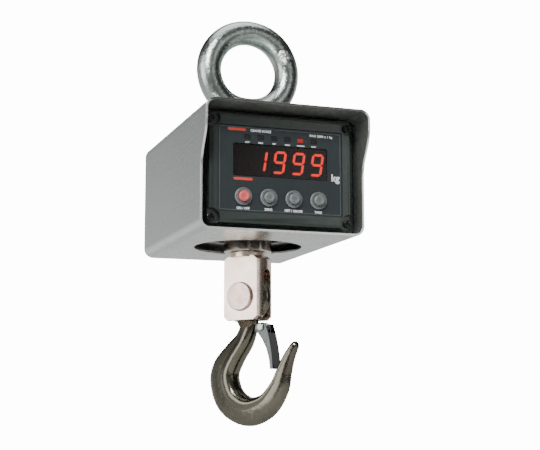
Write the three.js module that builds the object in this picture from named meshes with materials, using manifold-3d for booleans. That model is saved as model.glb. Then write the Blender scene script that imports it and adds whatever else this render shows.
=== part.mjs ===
// Crane scale: a folded stainless case that hangs by a forged lifting eye and carries a swivel hook.
// Millimetres, +Z up. The origin is the hang point, at the inside top of the lifting eye.
// The display looks towards -Y, and +X is to the right of someone who reads it.
import * as THREE from 'three';
import { mergeVertices } from 'three/addons/utils/BufferGeometryUtils.js';
import Module from 'manifold-3d';

const wasm = await Module();
wasm.setup();

// ---------------------------------------------------------------- driving dimensions
const GAP = 0.3; // clearance left between two pieces that touch

const EYE_BORE = 54; // lifting eye: inside diameter
const EYE_BAR = 23.5; // lifting eye: thickness of the forged bar
const EYE_STANDOFF = 8; // underside of the ring above the case top
const COLLAR_DIAMETER = 60;
const COLLAR_THICKNESS = 5.5;
const STUD_DIAMETER = 24; // threads into the load cell, above and below
const STUD_ENGAGEMENT = 12;

const CASE_WIDTH = 150;
const CASE_HEIGHT = 110;
const CASE_LENGTH = 200; // without the hood
const CASE_SHEET = 2;
const CASE_BEND = 9; // outside radius of the long bends
const HOOD_REACH = 15.5; // how far the hood stands out over the display
const HOOD_SIDE = 24; // straight front edge of the hood, down from the case top
const HOOD_SLANT = 25; // height of the slanted edge below it
const HOOD_SOFTENING = 9; // length over which each bend of that edge is rounded
const FLOOR_HOLE = 100; // hole in the case floor, round the load line

const STIFFENER_LENGTH = 80;
const STIFFENER_THICKNESS = 5;
const EYE_NUT_ACROSS_FLATS = 36;
const EYE_NUT_HEIGHT = 12;
const EYE_GASKET_THICKNESS = 1.2;

const CELL_WIDTH = 58; // S-shaped load cell
const CELL_THICKNESS = 28;
const CELL_SLOT = 4;
const CELL_SLOT_WALL = 9; // metal left at the closed end of each slot
const CELL_GAUGE_BORE = 15;

const SHANK_DIAMETER = 44; // swivel housing and the clevis bar below it
const SHANK_DROP = 5; // how far the swivel housing comes out under the case
const HOUSING_LENGTH = 31;
const HOUSING_WALL = 4;
const HOUSING_FLAT_HEIGHT = 22;
const HOUSING_ACROSS_FLATS = 41;
const SWIVEL_RING_HEIGHT = 7;
const SPINDLE_DIAMETER = 22;
const RACE_HEIGHT = 2.5;
const BALL_DIAMETER = 4;
const BALL_COUNT = 12;
const SPINDLE_NUT_HEIGHT = 7;

const HOOK_TURN = THREE.MathUtils.degToRad(-51.7); // how the swivel stands at rest
const CLEVIS_HEIGHT = 59;
const CLEVIS_ACROSS_FLATS = 25;
const CLEVIS_CHAMFER = 3.2;
const SHOULDER_DIAMETER = 33;
const SHOULDER_HEIGHT = 3.4;
const PIN_DIAMETER = 26;
const PIN_PROUD = 3; // stands out of the clevis on both sides
const PIN_ABOVE_CLEVIS_END = 21.5;
const PIN_RUNNING_CLEARANCE = 0.35; // on the radius, in the hook's eye
const LOCK_SCREW_DIAMETER = 5;
const LOCK_SCREW_LENGTH = 6;

const HOOK_EYE_DIAMETER = 49;
const HOOK_EYE_THICKNESS = 10.4;
const HOOK_SWING = 12; // degrees each way from hanging straight
const SLOT_CLEARANCE = 0.5; // on each side of the hook's eye
// Stations down the middle of the hook, from the eye to the point, measured from the pin's axis:
// across, up, half width in the hook's plane, half thickness.
const HOOK_STATIONS = [
  [0, 3.5 - HOOK_EYE_DIAMETER / 2, 16.4, 4.6],
  [0.9, -29, 9.0, 7.6],
  [-4.6, -40.5, 9.8, 9.2],
  [-15.6, -53, 11.9, 9.8],
  [-24.2, -65.5, 14.2, 10.2],
  [-25.6, -77.5, 15.1, 10.4],
  [-19.6, -92.5, 15.2, 10.4],
  [-7.0, -102, 14.3, 10.4],
  [7.0, -104.4, 13.4, 10.2],
  [23.4, -98, 11.3, 9.6],
  [34.8, -83.8, 9.3, 8.6],
  [40.0, -69, 7.0, 7.2],
  [44.6, -57, 5.6, 5.8],
  [49.5, -48, 4.3, 4.6],
];
const HOOK_POINT = [53.2, -42.6]; // where the rounded point ends
const HOOK_TAPER = 0.22; // how much thicker the inside of the bend is than its outside

const LATCH_PIVOT = [18.6, -PIN_ABOVE_CLEVIS_END - 6.9]; // from the pin's axis, just under the clevis
const LATCH_RIVET = 4.4;
const LATCH_SHEET = 1.5;
const LATCH_WIDTH = 14; // over its two cheeks
const LATCH_LUG_THICKNESS = 5;
const LATCH_LUG_RADIUS = 4.6;
const SPRING_WIRE = 0.9;
const SPRING_TURNS = 1.5;

const PANEL_RECESS = 7.4; // front of the display bezel behind the case's lower front edge
const BEZEL_RAISED = 12.6; // how far its middle stands in front of its flange
const BEZEL_FLANGE = 3;
const BEZEL_WALL = 2.4;
const BEZEL_EDGE = 2.6; // rounding of the raised middle
const BEZEL_SIDE_STEP = 7.4; // flange left bare at the sides
const BEZEL_END_STEP = 4.7; // and above and below
const BEZEL_FIT = 0.5; // to the case walls
const LABEL_SIDE_BAND = 8.6; // bezel left bare beside the label
const LABEL_END_BAND = 10.7; // and above and below it
const LABEL_THICKNESS = 0.6;
const LABEL_SINK = 0.8; // label face below the bezel face
const WINDOW_WIDTH = 87.2;
const WINDOW_HEIGHT = 28.7;
const WINDOW_CORNER = 1.6;
const LENS_THICKNESS = 2;
const STATUS_COUNT = 6;
const STATUS_PITCH = 12.3;
const STATUS_WIDTH = 5.2;
const STATUS_HEIGHT = 3.4;
const BUTTON_COUNT = 4;
const BUTTON_PITCH = 23;
const BUTTON_RING = 15.2;
const BUTTON_RING_HEIGHT = 2.4;
const BUTTON_CAP = 9.4;
const BUTTON_PROUD = 3; // cap above its ring
const BUTTON_TRAVEL = 1.2;
// How the height that the rows leave over on the label is shared out, from its top edge down.
const LABEL_ROW_SHARES = { top: 0.27, underStatus: 0.15, underWindow: 0.38, bottom: 0.2 };
const DIGIT_COUNT = 5;
const DIGIT_DEPTH = 7;
const DIGIT_HEIGHT = 24;
const BOARD_THICKNESS = 1.6;

const FRAME_THICKNESS = 3; // welded frames behind the bezel and the back cover
const FRAME_WIDTH = 13;
const GASKET_THICKNESS = 1.2;
const GASKET_WIDTH = 3;
const SCREW_DIAMETER = 4;
const SCREW_HEAD = 7;
const SCREW_HEAD_HEIGHT = 2.6;
const SCREW_POCKET = 15.6; // round corner pocket for each bezel screw
const SCREW_POCKET_DEPTH = 4.4;
const SCREW_INSET_X = 9.9; // from the inside of the case walls
const SCREW_INSET_Z = 9.7;
const BACK_RECESS = 4; // back cover behind the case's rear edge
const BACK_COVER_THICKNESS = 2;

const TRAY_SHEET = 1.5;
const TRAY_HEIGHT = 7;
const TRAY_HOLE = 72;
const TRAY_FRONT = 34; // tray starts this far behind the case's front edge
const TRAY_BACK = 14;
const BATTERY_SIZE = { x: 101, y: 47, z: 70 };
const BATTERY_FROM_BACK = 24;
const STRAP_WIDTH = 22;
const STRAP_SHEET = 1.5;
const SOCKET_BODY = 12;
const SOCKET_FLANGE = 18;
const SOCKET_FLANGE_THICKNESS = 1.4;
const SOCKET_DEPTH = 14;
const SOCKET_BORE = 8;
const SOCKET_BORE_DEPTH = 10;
const CAP_PLUG = 1; // how far the flap's plug reaches into the socket
const CAP_THICKNESS = 1.8;
const LEAD_DIAMETER = 3;

// ---------------------------------------------------------------- levels worked out from them
const ringRadius = (EYE_BORE + EYE_BAR) / 2;
const ringCentreZ = -EYE_BORE / 2;
const caseTop = -EYE_BORE - EYE_BAR - EYE_STANDOFF;
const caseBottom = caseTop - CASE_HEIGHT;
const caseMiddle = (caseTop + caseBottom) / 2;
const caseFront = -CASE_LENGTH / 2;
const caseBack = CASE_LENGTH / 2;
const innerWidth = CASE_WIDTH - 2 * CASE_SHEET;
const innerHeight = CASE_HEIGHT - 2 * CASE_SHEET;
const innerBend = CASE_BEND - CASE_SHEET;

const stiffenerTop = caseTop - CASE_SHEET - GAP;
const nutTop = stiffenerTop - STIFFENER_THICKNESS - GAP;
const cellTop = nutTop - EYE_NUT_HEIGHT - GAP;
const housingBottom = caseBottom - SHANK_DROP;
const housingTop = housingBottom + HOUSING_LENGTH;
const cellBottom = housingTop + GAP;

const cavityDiameter = SHANK_DIAMETER - 2 * HOUSING_WALL;
const runningBore = SPINDLE_DIAMETER + 4 * GAP;
const raceDiameter = cavityDiameter - 4 * GAP;
const ballDiameter = Math.min(BALL_DIAMETER, (raceDiameter - runningBore) / 2);
const raceLowerBottom = housingBottom + SWIVEL_RING_HEIGHT + GAP;
const cageBottom = raceLowerBottom + RACE_HEIGHT + GAP;
const raceUpperBottom = cageBottom + ballDiameter + GAP;
const spindleNutBottom = raceUpperBottom + RACE_HEIGHT + GAP;
const spindleTop = spindleNutBottom + SPINDLE_NUT_HEIGHT;
const cavityTop = spindleTop + 1;

const clevisTop = housingBottom - SHOULDER_HEIGHT - 2 * GAP;
const clevisEnd = clevisTop - CLEVIS_HEIGHT;
const pinZ = clevisEnd + PIN_ABOVE_CLEVIS_END;
const slotWidth = HOOK_EYE_THICKNESS + 2 * SLOT_CLEARANCE;

const bezelFace = caseFront + PANEL_RECESS;
const bezelFlangeFace = bezelFace + BEZEL_RAISED;
const bezelBack = bezelFlangeFace + BEZEL_FLANGE;
const bezelGasketFace = bezelBack + GAP;
const frontFrameFace = bezelGasketFace + GASKET_THICKNESS + GAP;
const raisedWidth = innerWidth - 2 * BEZEL_SIDE_STEP;
const raisedHeight = innerHeight - 2 * BEZEL_END_STEP;
const labelWidth = raisedWidth - 2 * LABEL_SIDE_BAND;
const labelHeight = raisedHeight - 2 * LABEL_END_BAND;
const labelFace = bezelFace + LABEL_SINK;
const labelBack = labelFace + LABEL_THICKNESS;
const panelBack = labelBack + GAP + BEZEL_WALL;
const lensFace = labelBack + GAP;
const lensBack = lensFace + LENS_THICKNESS;
const digitFace = Math.max(lensBack, panelBack) + GAP;
const boardFace = digitFace + DIGIT_DEPTH + GAP;
const screwX = innerWidth / 2 - SCREW_INSET_X;
const screwZ = innerHeight / 2 - SCREW_INSET_Z;

const labelSpare = labelHeight - STATUS_HEIGHT - WINDOW_HEIGHT - BUTTON_RING;
const statusZ = caseMiddle + labelHeight / 2 - LABEL_ROW_SHARES.top * labelSpare - STATUS_HEIGHT / 2;
const windowTop = statusZ - STATUS_HEIGHT / 2 - LABEL_ROW_SHARES.underStatus * labelSpare;
const windowZ = windowTop - WINDOW_HEIGHT / 2;
const buttonZ = caseMiddle - labelHeight / 2 + LABEL_ROW_SHARES.bottom * labelSpare + BUTTON_RING / 2;

const backFace = caseBack - BACK_RECESS;
const backCoverInside = backFace - BACK_COVER_THICKNESS;
const backGasketFace = backCoverInside - GAP - GASKET_THICKNESS;
const rearFrameFace = backGasketFace - GAP - FRAME_THICKNESS;

const floorInside = caseBottom + CASE_SHEET;
const trayTop = floorInside + GAP + TRAY_HEIGHT;
const batteryBottom = trayTop + GAP;
const batteryTop = batteryBottom + BATTERY_SIZE.z;
const batteryBack = caseBack - BATTERY_FROM_BACK;
const loadLineClear = Math.max(CELL_THICKNESS, SHANK_DIAMETER) / 2 + 4;
const batteryFront = Math.max(batteryBack - BATTERY_SIZE.y, loadLineClear);
const socketX = innerWidth / 2 - 26;
const socketZ = caseMiddle + innerHeight / 2 - 26;

// ---------------------------------------------------------------- materials
function finish(color, roughness, metalness) {
  return new THREE.MeshStandardMaterial({ color, roughness, metalness });
}
const STAINLESS = () => finish(0x9aa29c, 0.35, 1);
const ZINC = () => finish(0xc4cac6, 0.3, 1);
const FORGED = () => finish(0x8f897e, 0.32, 1);
const MACHINED = () => finish(0xc9bfb6, 0.28, 1);
const BRIGHT_SHEET = () => finish(0xb9bdc0, 0.25, 1);
const ALLOY = () => finish(0xb5b8bb, 0.4, 1);
const BLACK_OXIDE = () => finish(0x17191a, 0.4, 0.7);
const LID_PLASTIC = () => finish(0x1b2723, 0.35, 0);
const LABEL_FILM = () => finish(0x454c57, 0.45, 0);
const SMOKED = () => finish(0x0d0607, 0.08, 0);
const LED_CASE = () => finish(0x1a1416, 0.6, 0);
const BOARD_GREEN = () => finish(0x1f5a3a, 0.5, 0);
const BUTTON_GREY = () => finish(0x77827f, 0.5, 0);
const BUTTON_RED = () => finish(0xd6504e, 0.5, 0);
const BLACK_RUBBER = () => finish(0x141414, 0.8, 0);
const BATTERY_GREY = () => finish(0x3a3d42, 0.55, 0);
const LEAD_GREY = () => finish(0x4a4a4c, 0.6, 0);

// ---------------------------------------------------------------- shared shapes
/** A closed three.js geometry as a manifold-3d solid, turned the right way out. */
function solid(geometry) {
  const bare = new THREE.BufferGeometry();
  bare.setAttribute('position', geometry.getAttribute('position'));
  if (geometry.index) bare.setIndex(geometry.index);
  const merged = mergeVertices(bare, 1e-4);
  const points = merged.getAttribute('position').array;
  const triangles = Uint32Array.from(merged.index.array);
  if (signedVolume(points, triangles) < 0) triangles.reverse();
  return new wasm.Manifold(new wasm.Mesh({ numProp: 3, vertProperties: points, triVerts: triangles }));
}

function signedVolume(points, triangles) {
  const [a, b, c] = [new THREE.Vector3(), new THREE.Vector3(), new THREE.Vector3()];
  let sum = 0;
  for (let i = 0; i < triangles.length; i += 3) {
    a.fromArray(points, 3 * triangles[i]);
    b.fromArray(points, 3 * triangles[i + 1]);
    c.fromArray(points, 3 * triangles[i + 2]);
    sum += a.dot(b.cross(c));
  }
  return sum / 6;
}

function part(name, body, material) {
  const mesh = body.getMesh();
  const geometry = new THREE.BufferGeometry();
  geometry.setAttribute('position', new THREE.BufferAttribute(mesh.vertProperties, 3));
  geometry.setIndex(new THREE.BufferAttribute(mesh.triVerts, 1));
  geometry.computeVertexNormals();
  const node = new THREE.Mesh(geometry, material);
  node.name = name;
  return node;
}

/** A block between two corners. */
function block(low, high) {
  const size = high.map((value, i) => value - low[i]);
  const geometry = new THREE.BoxGeometry(...size);
  geometry.translate(...low.map((value, i) => value + size[i] / 2));
  return solid(geometry);
}

/** A round bar along Z. */
function barZ(diameter, z0, z1, segments = 24, x = 0, y = 0) {
  const geometry = new THREE.CylinderGeometry(diameter / 2, diameter / 2, z1 - z0, segments);
  geometry.rotateX(Math.PI / 2);
  geometry.translate(x, y, (z0 + z1) / 2);
  return solid(geometry);
}

/** A round bar along Y. */
function barY(diameter, y0, y1, x, z, segments = 18) {
  const geometry = new THREE.CylinderGeometry(diameter / 2, diameter / 2, y1 - y0, segments);
  geometry.translate(x, (y0 + y1) / 2, z);
  return solid(geometry);
}

/** A round bar along X. */
function barX(diameter, x0, x1, y, z) {
  const geometry = new THREE.CylinderGeometry(diameter / 2, diameter / 2, x1 - x0, 12);
  geometry.rotateZ(Math.PI / 2);
  geometry.translate((x0 + x1) / 2, y, z);
  return solid(geometry);
}

/** A turned piece about Z: its outline is [radius, z] pairs that start and end on the axis or close. */
function turnedZ(outline, segments = 28) {
  const points = outline.map(([radius, z]) => new THREE.Vector2(radius, z));
  const geometry = new THREE.LatheGeometry(points, segments);
  geometry.rotateX(Math.PI / 2);
  return solid(geometry);
}

/** A turned piece about a line along Y through (x, z): its outline is [radius, y] pairs. */
function turnedY(outline, x, z, segments = 18) {
  const points = outline.map(([radius, y]) => new THREE.Vector2(radius, y));
  const geometry = new THREE.LatheGeometry(points, segments);
  geometry.translate(x, 0, z);
  return solid(geometry);
}

/** A flat ring about Z. */
function ringZ(outer, inner, z0, z1, segments = 28) {
  const [near, far] = [inner / 2, outer / 2];
  return turnedZ([[near, z0], [far, z0], [far, z1], [near, z1], [near, z0]], segments);
}

function roundedRectangle(width, height, radius, centreX = 0, centreY = 0) {
  const [x, y] = [width / 2, height / 2];
  const shape = new THREE.Shape();
  const quarter = Math.PI / 2;
  shape.absarc(centreX + x - radius, centreY - y + radius, radius, -quarter, 0);
  shape.absarc(centreX + x - radius, centreY + y - radius, radius, 0, quarter);
  shape.absarc(centreX - x + radius, centreY + y - radius, radius, quarter, 2 * quarter);
  shape.absarc(centreX - x + radius, centreY - y + radius, radius, 2 * quarter, 3 * quarter);
  shape.closePath();
  return shape;
}

const [ALONG_X, ALONG_Y, ALONG_Z] = [[1, 0, 0], [0, 1, 0], [0, 0, 1]].map((v) => new THREE.Vector3(...v));
const X_Z_PLANE = new THREE.Matrix4().makeBasis(ALONG_X, ALONG_Z, ALONG_Y.clone().negate());
const Y_Z_PLANE = new THREE.Matrix4().makeBasis(ALONG_Y, ALONG_Z, ALONG_X);

/** A shape drawn in X and Z, carried from y0 to y1. */
function slabY(shape, y0, y1, curveSegments = 2, bevel = 0) {
  const geometry = new THREE.ExtrudeGeometry(shape, {
    depth: y1 - y0 - 2 * bevel, curveSegments, bevelEnabled: bevel > 0, bevelThickness: bevel,
    bevelSize: bevel, bevelOffset: -bevel, bevelSegments: 2,
  });
  geometry.applyMatrix4(X_Z_PLANE);
  geometry.translate(0, y1 - bevel, 0);
  return solid(geometry);
}

/** A shape drawn in Y and Z, carried from x0 to x1. */
function slabX(shape, x0, x1, curveSegments = 3) {
  const geometry = new THREE.ExtrudeGeometry(shape, { depth: x1 - x0, curveSegments, bevelEnabled: false });
  geometry.applyMatrix4(Y_Z_PLANE);
  geometry.translate(x0, 0, 0);
  return solid(geometry);
}

function polygon(points) {
  return new THREE.Shape(points.map(([x, y]) => new THREE.Vector2(x, y)));
}

/** A tube of round section along a smooth path. */
function tube(points, diameter, steps, sides = 8) {
  const places = points.map((p) => new THREE.Vector3(...p));
  const path = new THREE.CatmullRomCurve3(places, false, 'centripetal');
  const section = new THREE.Shape();
  section.absarc(0, 0, diameter / 2, 0, 2 * Math.PI);
  const settings = { steps, extrudePath: path, curveSegments: sides / 2 };
  return solid(new THREE.ExtrudeGeometry(section, settings));
}

function cut(body, cutters) {
  return cutters.reduce((rest, cutter) => rest.subtract(cutter), body);
}

function join(bodies) {
  return bodies.reduce((all, next) => all.add(next));
}

/** The four corner places of the bezel's and the back cover's screws. */
function screwPlaces() {
  return [[-1, 1], [1, 1], [-1, -1], [1, -1]].map(([sx, sz]) => [sx * screwX, caseMiddle + sz * screwZ]);
}

// ---------------------------------------------------------------- case
/** Folded sheet sleeve, open at both ends, with the hood left on three sides of its front. */
function caseSleeve() {
  const outline = roundedRectangle(CASE_WIDTH, CASE_HEIGHT, CASE_BEND, 0, caseMiddle);
  outline.holes.push(roundedRectangle(innerWidth, innerHeight, innerBend, 0, caseMiddle));
  const hoodFront = caseFront - HOOD_REACH;
  const sleeve = slabY(outline, hoodFront, caseBack, 3);
  const cutters = [slabX(hoodCutAway(hoodFront), -CASE_WIDTH, CASE_WIDTH)];
  cutters.push(barZ(FLOOR_HOLE, caseBottom - 1, floorInside + 1, 48));
  cutters.push(barZ(STUD_DIAMETER + 2 * GAP, caseTop - CASE_SHEET - 1, caseTop + 1));
  return part('case_sleeve', cut(sleeve, cutters), STAINLESS());
}

/** What is cut off in front of the hood's side edge, seen from the side (Y, Z). */
function hoodCutAway(hoodFront) {
  const kneeZ = caseTop - HOOD_SIDE;
  const heelZ = kneeZ - HOOD_SLANT;
  const slant = new THREE.Vector2(HOOD_REACH, -HOOD_SLANT).normalize().multiplyScalar(HOOD_SOFTENING);
  const shape = new THREE.Shape();
  shape.moveTo(hoodFront - 1, kneeZ + HOOD_SOFTENING);
  shape.lineTo(hoodFront, kneeZ + HOOD_SOFTENING);
  shape.quadraticCurveTo(hoodFront, kneeZ, hoodFront + slant.x, kneeZ + slant.y);
  shape.lineTo(caseFront - slant.x, heelZ - slant.y);
  shape.quadraticCurveTo(caseFront, heelZ, caseFront, heelZ - HOOD_SOFTENING);
  shape.lineTo(caseFront, caseBottom - 1);
  shape.lineTo(hoodFront - 1, caseBottom - 1);
  shape.closePath();
  return shape;
}

/** Thick plate inside the case top that the eye's nut clamps. */
function topStiffener() {
  const half = innerWidth / 2 - innerBend;
  const plate = block([-half, -STIFFENER_LENGTH / 2, stiffenerTop - STIFFENER_THICKNESS],
    [half, STIFFENER_LENGTH / 2, stiffenerTop]);
  const hole = barZ(STUD_DIAMETER + 2 * GAP, stiffenerTop - STIFFENER_THICKNESS - 1, stiffenerTop + 1);
  return part('top_stiffener', plate.subtract(hole), STAINLESS());
}

/** Welded-in frame that a cover is screwed to. */
function coverFrame(name, face) {
  const outline = roundedRectangle(innerWidth - 2 * GAP, innerHeight - 2 * GAP, innerBend, 0, caseMiddle);
  const opening = [innerWidth - 2 * FRAME_WIDTH, innerHeight - 2 * FRAME_WIDTH];
  outline.holes.push(roundedRectangle(...opening, 3, 0, caseMiddle));
  const frame = slabY(outline, face, face + FRAME_THICKNESS);
  const holes = screwPlaces().map(([x, z]) =>
    barY(SCREW_DIAMETER + 2 * GAP, face - 1, face + FRAME_THICKNESS + 1, x, z, 12));
  return part(name, cut(frame, holes), STAINLESS());
}

/** Flat rubber gasket between a cover and its frame, inside the line of screws. */
function coverGasket(name, face) {
  const width = 2 * (screwX - SCREW_DIAMETER / 2 - 1);
  const height = 2 * (screwZ - SCREW_DIAMETER / 2 - 1);
  const outline = roundedRectangle(width, height, 5, 0, caseMiddle);
  const opening = [width - 2 * GASKET_WIDTH, height - 2 * GASKET_WIDTH];
  outline.holes.push(roundedRectangle(...opening, 3, 0, caseMiddle));
  return part(name, slabY(outline, face, face + GASKET_THICKNESS, 1), BLACK_RUBBER());
}

// ---------------------------------------------------------------- load line, above the swivel
/** Forged lifting eye: a ring, its collar and the stud that runs down into the load cell. */
function eyeBolt() {
  const ring = new THREE.TorusGeometry(ringRadius, EYE_BAR / 2, 12, 36);
  ring.rotateX(Math.PI / 2);
  ring.translate(0, 0, ringCentreZ);
  const collarBottom = caseTop + EYE_GASKET_THICKNESS + 2 * GAP;
  const collarTop = collarBottom + COLLAR_THICKNESS;
  const neckTop = caseTop + EYE_STANDOFF + EYE_BAR / 3;
  const collar = turnedZ([
    [0, collarBottom], [COLLAR_DIAMETER / 2 - 1, collarBottom], [COLLAR_DIAMETER / 2, collarBottom + 1],
    [COLLAR_DIAMETER / 2, collarTop - 1.5], [COLLAR_DIAMETER / 2 - 1.5, collarTop],
    [EYE_BAR * 0.62, collarTop + 1], [EYE_BAR * 0.46, neckTop], [0, neckTop],
  ]);
  const stud = barZ(STUD_DIAMETER, cellTop - STUD_ENGAGEMENT, collarBottom + 1);
  return part('eye_bolt', join([solid(ring), collar, stud]), ZINC());
}

/** Rubber washer that keeps water out under the eye's collar. */
function eyeGasket() {
  const low = caseTop + GAP;
  const ring = ringZ(COLLAR_DIAMETER, STUD_DIAMETER + 2 * GAP, low, low + EYE_GASKET_THICKNESS);
  return part('eye_gasket', ring, BLACK_RUBBER());
}

/** Nut inside the case that holds the eye to the stiffener. */
function eyeNut() {
  const hexagon = new THREE.Shape();
  const corner = EYE_NUT_ACROSS_FLATS / Math.sqrt(3);
  for (let i = 0; i < 6; i += 1) {
    const angle = (i * Math.PI) / 3;
    hexagon[i ? 'lineTo' : 'moveTo'](corner * Math.cos(angle), corner * Math.sin(angle));
  }
  const geometry = new THREE.ExtrudeGeometry(hexagon, { depth: EYE_NUT_HEIGHT, bevelEnabled: false });
  geometry.translate(0, 0, nutTop - EYE_NUT_HEIGHT);
  const bore = barZ(STUD_DIAMETER + 2 * GAP, nutTop - EYE_NUT_HEIGHT - 1, nutTop + 1);
  return part('eye_nut', solid(geometry).subtract(bore), ZINC());
}

/** S-shaped load cell, hung between the eye's stud and the swivel housing's stud. */
function loadCell() {
  const [x, y] = [CELL_WIDTH / 2, CELL_THICKNESS / 2];
  const middle = (cellTop + cellBottom) / 2;
  const body = block([-x, -y, cellBottom], [x, y, cellTop]);
  const slotOffset = (cellTop - cellBottom) / 2 - STUD_ENGAGEMENT - 3 - CELL_SLOT / 2;
  const slot = (side) => {
    const z = middle + side * slotOffset;
    const [near, far] = [side * (x + 1), -side * (x - CELL_SLOT_WALL)];
    const [low, high] = [Math.min(near, far), Math.max(near, far)];
    return block([low, -y - 1, z - CELL_SLOT / 2], [high, y + 1, z + CELL_SLOT / 2]);
  };
  const threads = [
    barZ(STUD_DIAMETER + 2 * GAP, cellTop - STUD_ENGAGEMENT - 1, cellTop + 1),
    barZ(STUD_DIAMETER + 2 * GAP, cellBottom - 1, cellBottom + STUD_ENGAGEMENT + 1),
  ];
  const boreRoom = 2 * slotOffset - CELL_SLOT - 4; // leaves 2 mm of metal between the bore and each slot
  const gaugeBore = barY(Math.min(CELL_GAUGE_BORE, boreRoom), -y - 1, y + 1, 0, middle);
  return part('load_cell', cut(body, [slot(1), slot(-1), ...threads, gaugeBore]), ALLOY());
}

/** Round housing under the load cell, with two spanner flats and the bearing's cavity open below. */
function swivelHousing() {
  const [radius, wall] = [SHANK_DIAMETER / 2, HOUSING_WALL];
  const studTop = cellBottom + STUD_ENGAGEMENT;
  const body = turnedZ([
    [radius - wall, housingBottom], [radius - 1, housingBottom], [radius, housingBottom + 1],
    [radius, housingTop - 1], [radius - 1, housingTop], [STUD_DIAMETER / 2, housingTop],
    [STUD_DIAMETER / 2, studTop], [0, studTop], [0, cavityTop], [radius - wall, cavityTop],
    [radius - wall, housingBottom],
  ], 32);
  const flats = [-1, 1].map((side) => {
    const near = (side * HOUSING_ACROSS_FLATS) / 2;
    const far = side * SHANK_DIAMETER;
    return block([-SHANK_DIAMETER, Math.min(near, far), housingBottom - 1],
      [SHANK_DIAMETER, Math.max(near, far), housingBottom + HOUSING_FLAT_HEIGHT]);
  });
  return part('swivel_housing', cut(body, flats), MACHINED());
}

/** Ring pressed into the housing's mouth: the bearing's lower race sits on it. */
function swivelRing() {
  const top = housingBottom + SWIVEL_RING_HEIGHT;
  return part('swivel_ring', ringZ(cavityDiameter - 2 * GAP, runningBore, housingBottom, top), MACHINED());
}

function bearingRace(name, low) {
  return part(name, ringZ(raceDiameter, runningBore, low, low + RACE_HEIGHT), BRIGHT_SHEET());
}

/** Thrust bearing balls in their cage. */
function bearingCage() {
  const middle = cageBottom + ballDiameter / 2;
  const pitchDiameter = (raceDiameter + runningBore) / 2;
  const pitchRadius = pitchDiameter / 2;
  const width = ballDiameter * 0.75;
  const bodies = [ringZ(pitchDiameter + width, pitchDiameter - width, middle - 0.6, middle + 0.6, 24)];
  for (let i = 0; i < BALL_COUNT; i += 1) {
    const angle = (2 * Math.PI * i) / BALL_COUNT;
    const ball = new THREE.SphereGeometry(ballDiameter / 2, 6, 4);
    ball.translate(pitchRadius * Math.cos(angle), pitchRadius * Math.sin(angle), middle);
    bodies.push(solid(ball));
  }
  return part('bearing_cage', join(bodies), BRIGHT_SHEET());
}

// ---------------------------------------------------------------- what turns, in the hook's own frame
function spindleNut() {
  const nut = ringZ(raceDiameter - 2, SPINDLE_DIAMETER + 2 * GAP, spindleNutBottom, spindleTop);
  return part('spindle_nut', nut, MACHINED());
}

/** Round bar with two flats, slotted for the hook's eye, with the swivel spindle on top. */
function clevis() {
  const radius = SHANK_DIAMETER / 2;
  const flat = CLEVIS_ACROSS_FLATS / 2;
  const bar = turnedZ([
    [0, clevisEnd], [radius - CLEVIS_CHAMFER, clevisEnd], [radius, clevisEnd + CLEVIS_CHAMFER],
    [radius, clevisTop - CLEVIS_CHAMFER], [radius - CLEVIS_CHAMFER, clevisTop], [0, clevisTop],
  ], 36);
  const betweenFlats = block([-radius - 1, -flat, clevisEnd - 1], [radius + 1, flat, clevisTop + 1]);
  const shoulder = barZ(SHOULDER_DIAMETER, clevisTop - 1, clevisTop + SHOULDER_HEIGHT);
  const spindle = barZ(SPINDLE_DIAMETER, clevisTop - 1, spindleTop);
  const body = join([bar.intersect(betweenFlats), shoulder, spindle]);
  const pinHole = barY(PIN_DIAMETER + 2 * GAP, -radius, radius, 0, pinZ, 28);
  const rearCheekY = (slotWidth / 2 + flat) / 2;
  const lockHole = barX(LOCK_SCREW_DIAMETER + 2 * GAP, -radius - 1, 0, rearCheekY, pinZ);
  return part('clevis', cut(body, [clevisSlot(), pinHole, lockHole]), MACHINED());
}

/** Slot for the hook's eye: straight sides under a round top. */
function clevisSlot() {
  const half = slotWidth / 2;
  const archZ = pinZ + (HOOK_EYE_DIAMETER - HOOK_EYE_THICKNESS) / 2;
  const outline = new THREE.Shape();
  outline.moveTo(half, clevisEnd - 1);
  outline.lineTo(half, archZ);
  outline.absarc(0, archZ, half, 0, Math.PI);
  outline.lineTo(-half, clevisEnd - 1);
  outline.closePath();
  return slabX(outline, -SHANK_DIAMETER, SHANK_DIAMETER, 4);
}

function clevisPin() {
  const [radius, end, edge] = [PIN_DIAMETER / 2, CLEVIS_ACROSS_FLATS / 2 + PIN_PROUD, 0.8];
  const outline = [
    [0, -end], [radius - edge, -end], [radius, edge - end],
    [radius, end - edge], [radius - edge, end], [0, end],
  ];
  return part('clevis_pin', turnedY(outline, 0, pinZ, 28), MACHINED());
}

/** Grub screw in the rear cheek that locks the pin. */
function pinLockScrew() {
  const rearCheekY = (slotWidth / 2 + CLEVIS_ACROSS_FLATS / 2) / 2;
  const inner = -PIN_DIAMETER / 2 - 2 * GAP;
  const screw = barX(LOCK_SCREW_DIAMETER, inner - LOCK_SCREW_LENGTH, inner, rearCheekY, pinZ);
  return part('pin_lock_screw', screw, BLACK_OXIDE());
}

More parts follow.
